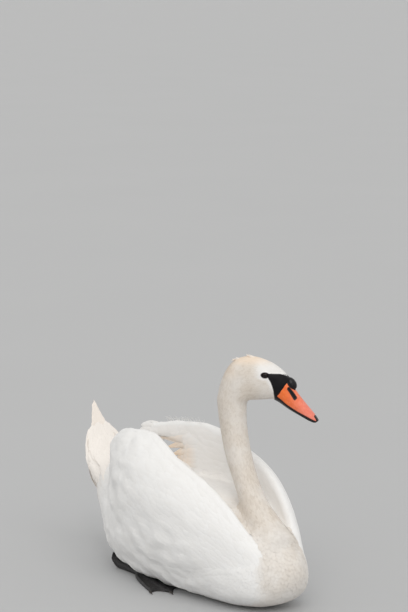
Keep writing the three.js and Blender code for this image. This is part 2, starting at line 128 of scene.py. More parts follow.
def mix_colour(tree, factor, first, second):
    made = add_node(tree, "Mix", {"Factor": factor, "A": first, "B": second}, data_type="RGBA")
    return made.outputs["Result"]


def own_place(tree):
    return add_node(tree, "TexCoord").outputs["Object"]


def noise(tree, vector, scale, detail=3, rough=0.5):
    inputs = {"Vector": vector, "Scale": scale, "Detail": detail, "Roughness": rough}
    return add_node(tree, "TexNoise", inputs).outputs["Fac"]


def new_material(name, roughness, specular):
    made = bpy.data.materials.new(name)
    made.use_nodes = True
    base = made.node_tree.nodes["Principled BSDF"]
    base.inputs["Roughness"].default_value = roughness
    base.inputs["Specular IOR Level"].default_value = specular
    return made, made.node_tree, base


bpy.ops.mesh.primitive_plane_add(size=FLOOR_SIZE, location=(0, 0, 0))
floor = bpy.context.active_object
floor.name = "floor"
floor_paint, tree, base = new_material("floor_paint", 0.9, 0.1)
paint = mix_colour(tree, noise(tree, own_place(tree), 1.2, 4), FLOOR_COLOUR, FLOOR_PALER)
tree.links.new(paint, base.inputs["Base Color"])
floor.data.materials.append(floor_paint)
floor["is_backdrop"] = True

# the sky lights the bird evenly, and the lens sees it in the floor's colour
SKY_LIGHT = 0.71
world = bpy.data.worlds.new("studio")
scene.world = world
world.use_nodes = True
tree = world.node_tree
tree.nodes.clear()
lit = add_node(tree, "Background", {"Color": (1.0, 0.995, 0.985, 1), "Strength": SKY_LIGHT})
seen = add_node(tree, "Background", {"Color": FLOOR_COLOUR, "Strength": 1.0})
path = add_node(tree, "LightPath").outputs
either = maths(tree, "MAXIMUM", path["Is Camera Ray"], path["Is Transmission Ray"])
sky = add_node(tree, "MixShader", {0: either, 1: lit.outputs[0], 2: seen.outputs[0]})
add_node(tree, "OutputWorld", {"Surface": sky.outputs[0]})

# name, strength, width, tilt and turn in degrees, colour: a broad warm light and a small one for the gloss
LAMPS = (("soft_overhead", 1.07, 60, 46, 60, (1.0, 0.985, 0.96)),
         ("glint", 0.12, 9, 48, 58, (1.0, 1.0, 1.0)))
for name, strength, spread, tilt, turn, colour in LAMPS:
    bpy.ops.object.light_add(type="SUN", rotation=(math.radians(tilt), 0, math.radians(turn)))
    lamp = bpy.context.active_object
    lamp.name = name
    lamp.data.energy = strength
    lamp.data.angle = math.radians(spread)
    lamp.data.color = colour
scene.view_settings.view_transform = "Standard"

# ------------------------------------------------------------------ skin
# One skin runs over trunk, neck, head and folded arms without a seam. It is laid inside the
# feathered outline by the depth of the plumage, and it is bare and black from eye to bill.
NECK = ("neck_lower", "neck_middle", "neck_upper")
WINGS = ("wing_left", "wing_right")
EYES = ("eye_left", "eye_right")
FLESH = ("trunk", *NECK, "head", *WINGS)
CORE = ("bill_upper", "bill_knob", "bill_nail", "bill_lower", *EYES)
SKIN_GRID = 0.004
SWELL = 0.0004       # so that neighbours meet before they are made one
MM = 0.001
UP = np.array([0, 0, 1.0])


def centre_of(node):
    low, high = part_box(node)
    return (low + high) / 2


def linked(mesh, name):
    made = bpy.data.objects.new(name, mesh)
    scene.collection.objects.link(made)
    return made


def chosen(piece):
    bpy.ops.object.select_all(action="DESELECT")
    bpy.context.view_layer.objects.active = piece
    piece.select_set(True)
    return piece


def edited(piece, *steps, picked=None):
    """Mesh steps run on the picked points of a piece, or on all of it."""
    chosen(piece)
    bpy.ops.object.mode_set(mode="EDIT")
    bpy.ops.mesh.select_all(action="SELECT" if picked is None else "DESELECT")
    if picked is not None:
        bpy.ops.object.mode_set(mode="OBJECT")
        piece.data.vertices.foreach_set("select", picked)
        bpy.ops.object.mode_set(mode="EDIT")
        bpy.ops.mesh.select_mode(type="VERT")
    for step in steps:
        step()
    bpy.ops.object.mode_set(mode="OBJECT")
    return piece


def merge_doubles():
    bpy.ops.mesh.remove_doubles(threshold=0.00002)


def face_out():
    bpy.ops.mesh.normals_make_consistent(inside=False)


def keep_linked():
    bpy.ops.mesh.select_linked()
    bpy.ops.mesh.select_all(action="INVERT")
    bpy.ops.mesh.delete(type="VERT")


def merged_copy(node, name):
    mesh = frame["nodes"][node].data.copy()
    mesh.materials.clear()
    return edited(linked(mesh, name), merge_doubles, face_out)


def finish_modifier(piece, kind, **values):
    made = chosen(piece).modifiers.new("step", kind)
    for key, value in values.items():
        setattr(made, key, value)
    bpy.ops.object.modifier_apply(modifier=made.name)


def joined(pieces, name):
    chosen(pieces[0])
    for piece in pieces:
        piece.select_set(True)
    bpy.ops.object.join()
    pieces[0].name = name
    return pieces[0]


def fetched(items, name, width, kind=float):
    found = np.empty(len(items) * width, dtype=kind)
    items.foreach_get(name, found)
    return found.reshape(-1, width)


def points_of(piece):
    return fetched(piece.data.vertices, "co", 3)


def normals_of(piece):
    return fetched(piece.data.vertex_normals, "vector", 3, np.float32).astype(float)


def edges_of(piece):
    return fetched(piece.data.edges, "vertices", 2, np.int32)


def set_points(piece, points):
    piece.data.vertices.foreach_set("co", np.ascontiguousarray(points, dtype=np.float32).ravel())
    piece.data.update()


def give_value(piece, name, values, kind="FLOAT", field="value"):
    made = piece.data.attributes.new(name, kind, "POINT")
    made.data.foreach_set(field, np.ascontiguousarray(values, dtype=np.float32).ravel())


def tube_faces(rings, width, closed=False):
    """Quads between rings of points; when closed, the last ring joins the first."""
    ring, j = np.divmod(np.arange((rings if closed else rings - 1) * width), width)
    here, there, beyond = ring * width, (ring + 1) % rings * width, (j + 1) % width
    return np.stack([here + j, here + beyond, there + beyond, there + j], 1)


def smoothed(piece):
    chosen(piece)
    bpy.ops.object.shade_smooth()


def handed_over(piece, look, slot, *nodes):
    """The piece gets its finish, rides on the body and stands for these nodes."""
    piece.data.materials.clear()
    piece.data.materials.append(look)
    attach(piece, "root")
    if nodes:
        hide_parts(*nodes)


def eased(points, edges, weight, rounds):
    """Each point drawn towards its neighbours' mean, by its own weight."""
    count = len(points)
    work = points.reshape(count, -1).copy()
    ends = np.concatenate([edges[:, 0], edges[:, 1]])
    others = np.concatenate([edges[:, 1], edges[:, 0]])
    degree = np.maximum(np.bincount(ends, minlength=count), 1)[:, None]
    weight = np.broadcast_to(np.asarray(weight, float), (count,))[:, None]
    for _ in range(rounds):
        mean = np.stack([np.bincount(ends, column[others], count) for column in work.T], 1) / degree
        work += (mean - work) * weight
    return work.reshape(points.shape)


def step_up(value, start, end):
    t = np.clip((value - start) / (end - start), 0, 1)
    return t * t * (3 - 2 * t)


def bump_at(value, middle, spread):
    """One at the middle, dying away on both sides."""
    return np.exp(-((value - middle) / spread) ** 2)


# the head's own directions: ahead along the bill, out to its left, and up, from between the eyes
head_left = (centre_of("eye_left") - centre_of("eye_right")).normalized()
HEAD_MID = np.array((centre_of("eye_left") + centre_of("eye_right")) / 2)
HEAD_LEFT = np.array(head_left)
HEAD_AHEAD = np.array(head_left.cross(Vector((0, 0, 1))).normalized())


def on_head(points):
    """Places as (ahead, left, up) of the point between the eyes, in millimetres."""
    off = (points - HEAD_MID) / MM
    return np.stack([off @ HEAD_AHEAD, off @ HEAD_LEFT, off[:, 2]], 1)


def from_head(places):
    return HEAD_MID + MM * (places[:, :1] * HEAD_AHEAD + places[:, 1:2] * HEAD_LEFT + places[:, 2:3] * UP)


parts = [merged_copy(node, node + "_flesh") for node in FLESH + CORE]
for part in parts:
    finish_modifier(part, "DISPLACE", strength=SWELL, mid_level=0.0)
skin = joined(parts, "skin")
finish_modifier(skin, "REMESH", mode="VOXEL", voxel_size=SKIN_GRID, adaptivity=0.0)

# only the one big shell is kept, and the head's part of it is made finer
places = points_of(skin)
edited(skin, keep_linked, picked=np.arange(len(places)) == np.argmax(places[:, 0]))
neck_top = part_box("neck_upper")[1].z
FACE_BELOW = neck_top - 0.05     # the face hangs no lower than this
FACE_BEHIND = -20                # and begins this many millimetres behind the eyes
places = points_of(skin)
on_bill = (on_head(places)[:, 0] > 10) & (places[:, 2] > FACE_BELOW)
on_crown = places[:, 2] > neck_top - 0.004
edited(skin, lambda: bpy.ops.mesh.subdivide(number_cuts=2), picked=on_crown | on_bill)

# the facets are rubbed out, further on the body than on the finer head
edges = edges_of(skin)
places = eased(points_of(skin), edges, 0.5, 14)

# every point learns which part of the bird it belongs to
TRACTS = FLESH + CORE + ("tail_fan", "primaries_left", "primaries_right")
tract_points, tract_faces, tract_owner = [], [], []
for number, node in enumerate(TRACTS):
    mesh = frame["nodes"][node].data
    start = len(tract_points)
    tract_points += [vertex.co.copy() for vertex in mesh.vertices]
    tract_faces += [[start + k for k in polygon.vertices] for polygon in mesh.polygons]
    tract_owner += [number] * len(mesh.polygons)
tract_tree = BVHTree.FromPolygons(tract_points, tract_faces)
tract_owner = np.array(tract_owner)


def tract_at(points):
    return tract_owner[[tract_tree.find_nearest(p)[2] for p in points]]


def is_in(tracts, *names):
    return np.isin(tracts, [TRACTS.index(name) for name in names])


# bare black skin: a ring round each eye and a wedge from the eye to the bill
BARE_BACK_UP = (-60, -50, -41, -31, -21.5, -13.7, -7, -3, 1.6)
BARE_BACK_AHEAD = (15.5, 16.2, 16.5, 15.9, 13.6, 10.6, 6.8, 4.4, 4.6)
BARE_TOP_AHEAD = (0, 9, 19, 28, 33, 38.5, 44.5, 51.5, 58)
BARE_TOP_UP = (3.4, 2.9, 2.3, 1.3, -0.4, -3.8, -8.6, -13.3, -20)
EYE_RING = (8.3, 5.8)            # half length and half height of the black round the eye


def bare_depth(spots):
    """Millimetres inside the edge of the bare skin; below zero is feathered."""
    ahead, side, up = spots.T
    wedge = np.minimum(ahead - np.interp(up, BARE_BACK_UP, BARE_BACK_AHEAD),
                       np.interp(ahead, BARE_TOP_AHEAD, BARE_TOP_UP) - up)
    wedge = np.where(up > 3, -5, wedge)
    ring = 6.5 * (1 - np.hypot(ahead / EYE_RING[0], up / EYE_RING[1]))
    return np.maximum(wedge, np.where(np.abs(side) > 12, ring, -5))


def by_face(points):
    return (points[:, 2] > FACE_BELOW) & (on_head(points)[:, 0] > FACE_BEHIND)


def bare_at(points):
    """The same for places anywhere on the bird."""
    return np.where(by_face(points), bare_depth(on_head(points)), -9)


COAT_DEPTH = {"trunk": 3.0, "neck_lower": 2.0, "neck_middle": 0.9, "neck_upper": 0.5, "head": 1.0,
              "wing_left": 2.6, "wing_right": 2.6}      # millimetres of plumage over the skin
CORE_DEPTH = 1.3
BARE_SINK = 0.15
LOOK_THROUGH = 0.06              # how far the thickness of the flesh is felt for
tracts = tract_at(places)
depth = np.full(len(places), CORE_DEPTH)
for node, deep in COAT_DEPTH.items():
    depth[is_in(tracts, node)] = deep
by_head = by_face(places)
depth = eased(depth, edges, 0.5, 25)
depth = np.where((bare_at(places) > -1) & is_in(tracts, "head", *EYES), BARE_SINK, depth)
depth = eased(depth, edges, 0.5, 3)
set_points(skin, places)
normals = normals_of(skin)
polygons = [tuple(polygon.vertices) for polygon in skin.data.polygons]
solid_tree = BVHTree.FromPolygons(places.tolist(), polygons)
room = np.full(len(places), LOOK_THROUGH)
for k, (p, n) in enumerate(zip(places, normals)):
    hit = solid_tree.ray_cast(Vector(p - n * 0.0005), Vector(-n), LOOK_THROUGH)
    if hit[0] is not None:
        room[k] = hit[3]
# thin rims of the wings are smoothed, and their lower edge is lost in the flank's plumage
thin = step_up(-room, -0.0085, -0.0050) * is_in(tracts, *WINGS)
places = eased(places, edges, 0.5 * thin, 45)
x, y, z = places.T
flank = step_up(-np.abs(z - 0.078), -0.050, -0.022) * step_up(-np.abs(x - 0.02), -0.26, -0.20)
places = eased(places, edges, 0.5 * flank * (np.abs(y) > 0.05), 70)
set_points(skin, places)
normals = normals_of(skin)
# the plumage lies in soft billows, deepest low down and to the rear
BILLOW = 0.0062
BILLOW_PER_METRE = Vector((26, 30, 38))
x, y, z = places.T
rolling = step_up(normals[:, 1] * np.sign(y), 0.1, 0.5) * is_in(tracts, "trunk", *WINGS)
rolling = rolling * (0.16 + 0.84 * np.maximum(step_up(-x, 0.0, 0.14), step_up(-z, -0.20, -0.10)))
rolling = rolling * (1 - 0.80 * step_up(x, 0.06, 0.17)) * (1 - 0.6 * step_up(-x, 0.22, 0.27))
wave = np.array([fractal(p * BILLOW_PER_METRE, 0.8, 2.1, 2) for p in map(Vector, places)])
places = places + normals * (BILLOW * rolling * eased(wave, edges, 0.5, 4))[:, None]
# and it stands fuller along the front of the left wing's crest
RUFFLED = 0.0055
ruffled = bump_at(x, -0.045, 0.055) * step_up(z, 0.240, 0.285) * is_in(tracts, "wing_left")
places[:, 2] += RUFFLED * eased(ruffled, edges, 0.5, 6)
set_points(skin, places)
depth = eased(np.minimum(depth * MM, room * 0.30), edges, 0.5, 4)
places = eased(places - normals_of(skin) * depth[:, None], edges, 0.4, 3)

# the eye's seat: skin sinks behind the ball, with a soft brow above it
SEAT_WIDE = 9.5                  # millimetres from the eye's axis
spots = on_head(places)
outward = np.sign(spots[:, 1])
beside = np.abs(spots[:, 1])
eye_side = np.linalg.norm(np.array(centre_of("eye_left")) - HEAD_MID) / MM
off_axis = np.hypot(spots[:, 0], spots[:, 2])
seat = by_head & (off_axis < SEAT_WIDE) & (beside > 12)
floor_side = eye_side + 2.2 + 2.6 * step_up(off_axis, 4.5, SEAT_WIDE)
spots[seat, 1] = (outward * np.minimum(beside, floor_side))[seat]
beside = np.abs(spots[:, 1])
brow = bump_at(spots[:, 2], 9.5, 3.2) * bump_at(spots[:, 0], 1, 10) * (beside > 12)
hollow = bump_at(spots[:, 2], -14, 8) * bump_at(spots[:, 0], 17, 9) * (beside > 10)
spots[:, 1] += outward * (0.7 * brow - 0.9 * hollow)
places = np.where(by_head[:, None], from_head(spots), places)
set_points(skin, places)

# eyelids: a folded ring round each ball, joined to the skin
LID_RADIAL = np.array((5.1, 5.25, 5.7, 6.3, 6.6, 7.1, 8.0, 9.4, 10.4, 8.0, 5.4))
LID_RISE = np.array((5.35, 5.85, 6.2, 6.05, 5.7, 5.4, 4.3, 3.2, 2.4, 2.0, 4.7))
LID_SPLITS = 44
LID_FLATTEN = 0.86
turn = 2 * math.pi * np.arange(LID_SPLITS)[:, None] / LID_SPLITS
lid_ahead = LID_RADIAL * np.cos(turn)
lid_up = LID_RADIAL * np.sin(turn) * np.where(LID_RADIAL < 7, LID_FLATTEN, LID_FLATTEN + 0.10)
lid_out = LID_RISE - 0.10 * lid_ahead * step_up(LID_RADIAL, 5.5, 9)
lid_faces = tube_faces(LID_SPLITS, len(LID_RADIAL), closed=True).tolist()
lids = []
for side, node in ((1, "eye_left"), (-1, "eye_right")):
    ring = np.stack([lid_ahead, side * lid_out, lid_up], 2).reshape(-1, 3)
    mesh = bpy.data.meshes.new("lid")
    mesh.from_pydata((np.array(centre_of(node)) + from_head(ring) - HEAD_MID).tolist(), [], lid_faces)
    lid = edited(linked(mesh, "lid"), face_out)
    finish_modifier(lid, "SUBSURF", levels=1, render_levels=1)
    lids.append(lid)

# the surface that the feathers are set on
skin_points = points_of(skin)
skin_normals = normals_of(skin)
finish_modifier(skin, "TRIANGULATE")
skin_faces = fetched(skin.data.polygons, "vertices", 3, np.int32)
skin_tree = BVHTree.FromPolygons(skin_points.tolist(), skin_faces.tolist())

skin = joined([skin] + lids, "skin")
smoothed(skin)


def cream_at(points, tracts_here):
    """How cream the plumage is: neck, head and the breast between the wings."""
    x, y, z = points.T
    spots = on_head(points)
    ahead, _, up = spots.T
    breast = step_up(-np.abs(y), -0.062, -0.044) * step_up(x, 0.10, 0.15)
    breast = np.maximum(breast, step_up(x, 0.243, 0.262)) * np.interp(z, (0.04, 0.12), (0.60, 0.84))
    creamy = np.where(is_in(tracts_here, "trunk"), breast, 0)
    creamy[is_in(tracts_here, *NECK, "head", *CORE)] = 1.0
    # whiter round the eye, the lores and the forehead
    edge = -bare_depth(spots)
    face = step_up(ahead, -26, -6) * is_in(tracts_here, "head", *CORE)
    reach = np.interp(up, (-10, 0), (8, 16))
    mask = (1 - step_up(edge / reach, 0.1, 1.0)) * step_up(up, -46, -18)
    brow = step_up(ahead, 4, 34) * step_up(up, -8, 4)
    return creamy * (1 - 0.88 * face * np.maximum(mask, brow))


def peach_at(points, normals_here, tracts_here):
    """A rusty wash on the crown, and a warm tone on the wings' inner faces and the tail."""
    x, y, z = points.T
    ahead, _, up = on_head(points).T
    crown = step_up(up, 12, 30) * step_up(-ahead, -36, 2) * 0.55
    nape = step_up(-ahead, 40, 75) * step_up(up, -15, 10) * 0.22
    inner = step_up(-normals_here[:, 1] * np.sign(y), -0.1, 0.4)
    stained = 0.34 * bump_at(x, -0.135, 0.042) * bump_at(z - 0.25 * (x + 0.135), 0.232, 0.024)
    inside = inner * (0.04 + stained * (y > 0))
    stern = 0.12 * step_up(-x, 0.22, 0.30)
    back = 0.08 * step_up(normals_here[:, 2], 0.4, 0.9) * (x < 0.12)
    body = np.where(is_in(tracts_here, *WINGS), inside, np.maximum(stern, back))
    return np.where(is_in(tracts_here, "head", *CORE), np.maximum(crown, nape), body)


def band(tree, value, low, high, to_low=0.0, to_high=1.0):
    inputs = {"Value": value, "From Min": low, "From Max": high, "To Min": to_low, "To Max": to_high}
    return add_node(tree, "MapRange", inputs, interpolation_type="SMOOTHSTEP").outputs["Result"]


def own_value(tree, name, output="Fac"):
    return add_node(tree, "Attribute", attribute_name=name).outputs[output]


def add_bump(tree, height, strength, distance, base):
    made = add_node(tree, "Bump", {"Height": height, "Strength": strength, "Distance": distance})
    tree.links.new(made.outputs["Normal"], base.inputs["Normal"])


# node group: the plumage's own colours, for skin and feathers alike
WHITE = (0.90, 0.895, 0.885, 1)
CREAM = (0.742, 0.675, 0.600, 1)
CREAM_DARK = (0.650, 0.580, 0.502, 1)
PEACH = (0.93, 0.715, 0.51, 1)
BLACK_SKIN = (0.0065, 0.006, 0.0075, 1)

group = bpy.data.node_groups.new("plumage_colours", "ShaderNodeTree")
group.interface.new_socket("Place", in_out="INPUT", socket_type="NodeSocketVector")
group.interface.new_socket("Cream", in_out="INPUT", socket_type="NodeSocketFloat")
group.interface.new_socket("Peach", in_out="INPUT", socket_type="NodeSocketFloat")
group.interface.new_socket("Colour", in_out="OUTPUT", socket_type="NodeSocketColor")
asked = group.nodes.new("NodeGroupInput").outputs
fleck = noise(group, asked["Place"], 190, 3, 0.6)
cloud = noise(group, asked["Place"], 24, 2, 0.5)
creamy = mix_colour(group, band(group, fleck, 0.42, 0.66), CREAM, CREAM_DARK)
creamy = mix_colour(group, band(group, cloud, 0.35, 0.7, 0.0, 0.35), creamy, WHITE)
body = mix_colour(group, asked["Cream"], WHITE, creamy)
body = mix_colour(group, asked["Peach"], body, PEACH)
group.links.new(body, group.nodes.new("NodeGroupOutput").inputs["Colour"])


def plumage_colour(tree, place):
    inputs = {"Place": place, "Cream": own_value(tree, "cream"), "Peach": own_value(tree, "peach")}
    return add_node(tree, "Group", inputs, node_tree=group).outputs["Colour"]


skin_look, tree, base = new_material("skin_look", 0.7, 0.17)
place = own_place(tree)
bare_mask = own_value(tree, "bare")
tint = mix_colour(tree, bare_mask, plumage_colour(tree, place), BLACK_SKIN)
tree.links.new(tint, base.inputs["Base Color"])
tree.links.new(band(tree, bare_mask, 0, 1, 0.85, 0.42), base.inputs["Roughness"])
add_bump(tree, noise(tree, place, 900, 4), 0.35, 0.0006, base)

places = points_of(skin)
spots = on_head(places)
under_bill = by_face(places) & (spots[:, 0] > 30) & (spots[:, 2] < 0)
tracts_all = tract_at(places)
give_value(skin, "bare", step_up(np.where(under_bill, 9, bare_at(places)), -0.6, 0.4))
give_value(skin, "cream", cream_at(places, tracts_all))
give_value(skin, "peach", peach_at(places, normals_of(skin), tracts_all))
handed_over(skin, skin_look, "white_plumage", *FLESH)

# ------------------------------------------------------------------ eyes
# Dark brown eyes, wet and glossy. Each is a whole ball seated under the lids, turned with its
# pole outwards, so that pupil and iris follow the pole.
IRIS = (0.020, 0.009, 0.005, 1)
IRIS_DARK = (0.008, 0.004, 0.003, 1)
PUPIL = (0.002, 0.002, 0.002, 1)
BALL_BACK = (0.006, 0.004, 0.003, 1)
EYE_BALL = 0.0073                # half its width
BULGE = 0.00035                  # the clear front stands a little prouder than the ball


def on_map(tree, name):
    uv = add_node(tree, "UVMap", uv_map=name).outputs["UV"]
    return add_node(tree, "SeparateXYZ", {"Vector": uv}).outputs


eye_look, tree, base = new_material("eye_look", 0.05, 0.28)
poleward = on_map(tree, "ring")["Y"]
iris = mix_colour(tree, noise(tree, own_place(tree), 1500, 2), IRIS, IRIS_DARK)
iris = mix_colour(tree, band(tree, poleward, 0.868, 0.880), iris, PUPIL)
iris = mix_colour(tree, band(tree, poleward, 0.70, 0.73), BALL_BACK, iris)
tree.links.new(iris, base.inputs["Base Color"])
for side, word in ((1, "left"), (-1, "right")):
    bpy.ops.object.select_all(action="DESELECT")
    bpy.ops.mesh.primitive_uv_sphere_add(segments=40, ring_count=24, radius=EYE_BALL, location=(0, 0, 0))
    eyeball = bpy.context.active_object
    eyeball.name = "eyeball_" + word
    eyeball.data.uv_layers[0].name = "ring"
    ball = points_of(eyeball)
    ball[:, 2] += BULGE * step_up(ball[:, 2] / EYE_BALL, 0.80, 1.0)
    set_points(eyeball, ball)
    turn = Vector(UP).rotation_difference(side * head_left).to_matrix().to_4x4()
    eyeball.data.transform(Matrix.Translation(centre_of("eye_" + word)) @ turn)
    smoothed(eyeball)
    handed_over(eyeball, eye_look, "eye", "eye_" + word)

# ------------------------------------------------------------------ bill
# The bill's horn is orange, with a black base, cutting edge, nostrils, nail and forehead knob.
# Each half is refined from the part's own shape, then the nostrils and edge ridges are pressed in.
BILL_GRID = 0.0008
ORANGE_LINE_UP = (-60, -40.3, -31.4, -23.6, -16)
ORANGE_LINE_AHEAD = (20, 21.4, 28.1, 33.7, 40.0)
BASE_AHEAD = (36, 40, 44, 50, 56, 60, 64)
BASE_UP = (-14, -15.5, -22.5, -28, -31, -31, -20)
EDGE_AHEAD = (16, 21, 28, 43, 62, 80, 97)
EDGE_UP = (-42, -43.5, -49, -59.5, -70.8, -80, -89.5)
NOSTRIL_FROM = np.array([44.5, -27.0])
NOSTRIL_TO = np.array([56.5, -45.0])
NOSTRIL_HALF = 3.2
RIDGE_GAP = 2.6                  # from ridge to ridge along the cutting edge
ORANGE = (0.94, 0.195, 0.040, 1)
# pale orange: the horn's own paler tone, and also painted highlight that stands in for the glints of its
# gloss
ORANGE_PALE_AND_PAINTED_HIGHLIGHT = (0.92, 0.52, 0.42, 1)
ORANGE_DEEP = (0.70, 0.10, 0.03, 1)
SALMON = (0.92, 0.265, 0.195, 1)


def along_nostril(spots):
    """Distance in millimetres from the nostril's centre line in the side view, and share along it."""
    line = NOSTRIL_TO - NOSTRIL_FROM
    off = spots[:, [0, 2]] - NOSTRIL_FROM
    share = np.clip(off @ line / (line @ line), 0, 1)
    return np.linalg.norm(off - share[:, None] * line, axis=1), share


def orange_at(spots):
    """Millimetres inside the edge of the orange horn; below zero is black."""
    ahead, side, up = spots.T
    inside = np.minimum(ahead - np.interp(up, ORANGE_LINE_UP, ORANGE_LINE_AHEAD),
                        np.interp(ahead, BASE_AHEAD, BASE_UP) - up)
    inside = np.where(ahead > 62, 6, inside)
    inside = np.minimum(inside, up - np.interp(ahead, EDGE_AHEAD, EDGE_UP))
    distance, share = along_nostril(spots)
    taper = NOSTRIL_HALF * (1 + 0.10 * share + 0.10 * np.sin(ahead * 1.1 + up * 0.6))
    return np.where(np.abs(side) > 4.5, np.minimum(inside, distance - taper), inside)


def refined(node, name, grid, rounds):
    """A node's own shape in a fine, even mesh with its facets rubbed out."""
    piece = merged_copy(node, name)
    finish_modifier(piece, "REMESH", mode="VOXEL", voxel_size=grid, adaptivity=0.0)
    set_points(piece, eased(points_of(piece), edges_of(piece), 0.5, rounds))
    return piece


bill_look, tree, base = new_material("bill_look", 0.38, 0.32)
place = own_place(tree)
horn = mix_colour(tree, own_value(tree, "tipward"), ORANGE, SALMON)
# pale streaks over the horn: partly its own paler tone, partly painted highlight
horn = mix_colour(tree, band(tree, noise(tree, place, 420, 4, 0.65), 0.56, 0.72, 0, 0.55), horn, ORANGE_PALE_AND_PAINTED_HIGHLIGHT)
horn = mix_colour(tree, band(tree, noise(tree, place, 130), 0.35, 0.65, 0.25, 0.0), horn, ORANGE_DEEP)
horn = mix_colour(tree, own_value(tree, "orange"), BLACK_SKIN, horn)
tree.links.new(horn, base.inputs["Base Color"])
tree.links.new(band(tree, noise(tree, place, 300), 0.3, 0.7, 0.30, 0.48), base.inputs["Roughness"])
add_bump(tree, noise(tree, place, 700, 4), 0.18, 0.0005, base)

bill_upper = refined("bill_upper", "bill_upper_horn", BILL_GRID, 10)
spots = on_head(points_of(bill_upper))
outward = np.sign(spots[:, 1])
distance, _ = along_nostril(spots)
pressed = 0.35 * bump_at(distance, 3.4, 1.0) - 1.9 * bump_at(distance, 0, 1.9)
spots[:, 1] += outward * pressed * (np.abs(spots[:, 1]) > 3)
over_edge = spots[:, 2] - np.interp(spots[:, 0], EDGE_AHEAD, EDGE_UP)
along = spots[:, 0] * 0.8 - spots[:, 2] * 0.5
ridges = np.sin(along * 2 * math.pi / RIDGE_GAP) * step_up(-np.abs(over_edge + 1.0), -2.4, -0.4)
spots[:, 1] += outward * 0.22 * ridges * (np.abs(spots[:, 1]) > 8)
set_points(bill_upper, from_head(spots))

bill_lower = refined("bill_lower", "bill_lower_horn", BILL_GRID, 6)
bill_nail = refined("bill_nail", "bill_nail_horn", BILL_GRID, 6)
bill_knob = refined("bill_knob", "bill_knob_skin", BILL_GRID, 12)
places = points_of(bill_knob)
ahead, _, up = on_head(places).T
crease = 0.21 * MM * np.sin(ahead * 0.75 + 0.6) * np.sin(up * 0.8)
set_points(bill_knob, places + normals_of(bill_knob) * crease[:, None])
for piece, node, slot in ((bill_upper, "bill_upper", "orange_bill"),
                          (bill_lower, "bill_lower", "black_bill"),
                          (bill_nail, "bill_nail", "black_bill"),
                          (bill_knob, "bill_knob", "black_bill")):
    spots = on_head(points_of(piece))
    give_value(piece, "orange", step_up(orange_at(spots), -0.35, 0.55) * (slot == "orange_bill"))
    give_value(piece, "tipward", step_up(spots[:, 0], 30, 90))
    smoothed(piece)
    handed_over(piece, bill_look, slot, node)

# ------------------------------------------------------------------ small feathers
# Contour feathers cover the whole skin in overlapping rows. Each is a thin closed vane with a
# raised shaft line; its root sits in the skin and it is combed along the lie of the plumage.
SHADE_TINT = (0.70, 0.66, 0.60, 1)
BARBS = 260.0                    # one wave for every barb along a vane, in radians
coat_look, tree, base = new_material("coat_look", 0.78, 0.25)
base.inputs["Sheen Weight"].default_value = 0.15
base.inputs["Sheen Roughness"].default_value = 0.5
tint = plumage_colour(tree, own_value(tree, "root_at", "Vector"))
tint = mix_colour(tree, band(tree, own_value(tree, "shade"), 0.0, 1.0, 0.0, 0.10), tint, SHADE_TINT)
tree.links.new(tint, base.inputs["Base Color"])
uv = on_map(tree, "vane")
beside = maths(tree, "ABSOLUTE", maths(tree, "SUBTRACT", uv["X"], 0.5))
slant = maths(tree, "MULTIPLY_ADD", beside, -0.55, uv["Y"])
add_bump(tree, maths(tree, "SINE", maths(tree, "MULTIPLY", slant, BARBS)), 0.08, 0.0003, base)


def unit(vectors):
    return vectors / np.maximum(np.linalg.norm(vectors, axis=-1, keepdims=True), 1e-12)


def flattened(vectors, normals):
    return unit(vectors - (vectors * normals).sum(1, keepdims=True) * normals)


def skin_normal_at(faces, points):
    """The skin's normal at places on these faces, blended from the faces' corners."""
    corners = skin_faces[faces]
    a, b, c = (skin_points[corners[:, k]] for k in range(3))
    across, down, off = b - a, c - a, points - a
    d00, d01, d11 = (across * across).sum(1), (across * down).sum(1), (down * down).sum(1)
    d20, d21 = (off * across).sum(1), (off * down).sum(1)
    area = np.maximum(d00 * d11 - d01 * d01, 1e-20)
    second = np.clip((d11 * d20 - d01 * d21) / area, 0, 1)
    third = np.clip((d00 * d21 - d01 * d20) / area, 0, 1)
    share = np.stack([1 - second - third, second, third], 1)
    return unit(sum(skin_normals[corners[:, k]] * share[:, k:k + 1] for k in range(3)))


def onto_skin(points):
    """The nearest places on the skin, and its normals there."""
    found = [skin_tree.find_nearest(p) for p in points]
    held = np.array([hit[0][:] for hit in found])
    return held, skin_normal_at([hit[2] for hit in found], held)


def walked(starts, ups, sides, reach, steps=4):
    """Places reached by walking sideways over the skin from each start, and its normals there."""
    at, up, go = starts, ups, sides
    for _ in range(steps):
        at, up = onto_skin(at + go * (reach / steps)[:, None])
        go = flattened(go, up)
    return at, up


def running_mean(table, width):
    """Each column of a table smoothed along its length."""
    padded = np.pad(table, ((width // 2, width // 2), (0, 0)), mode="edge")
    return np.stack([np.convolve(column, np.ones(width) / width, mode="valid") for column in padded.T], 1)


def read_off(x, known_x, table):
    """Rows of a table between the places where it is known."""
    return np.stack([np.interp(x, known_x, column) for column in table.T], 1)


# the crest line along the top of each raised wing
CREST_STEP = 0.004
crest_x = np.arange(-0.232, 0.226, CREST_STEP)
crest_lines = {}
for node in WINGS:
    own = skin_points[is_in(tracts, node)]
    line = np.array([max(own[np.abs(own[:, 0] - x) < CREST_STEP], key=lambda p: p[2]) for x in crest_x])
    line[:, 1:] = running_mean(line[:, 1:], 11)
    crest_lines[node] = line

NECK_FOOT = 0.080
NECK_FOOT_LEAN = 62.0
TAIL_LEAN = 65.0
WING_TILT_X = (-0.24, -0.12, 0.0, 0.12, 0.24)
WING_TILT = (2, 12, 22, 30, 34)


def degrees_along(degrees):
    """Rearward direction tilted up by some degrees."""
    angle = np.radians(degrees)
    return np.stack([-np.cos(angle), 0 * angle, np.sin(angle)], 1)


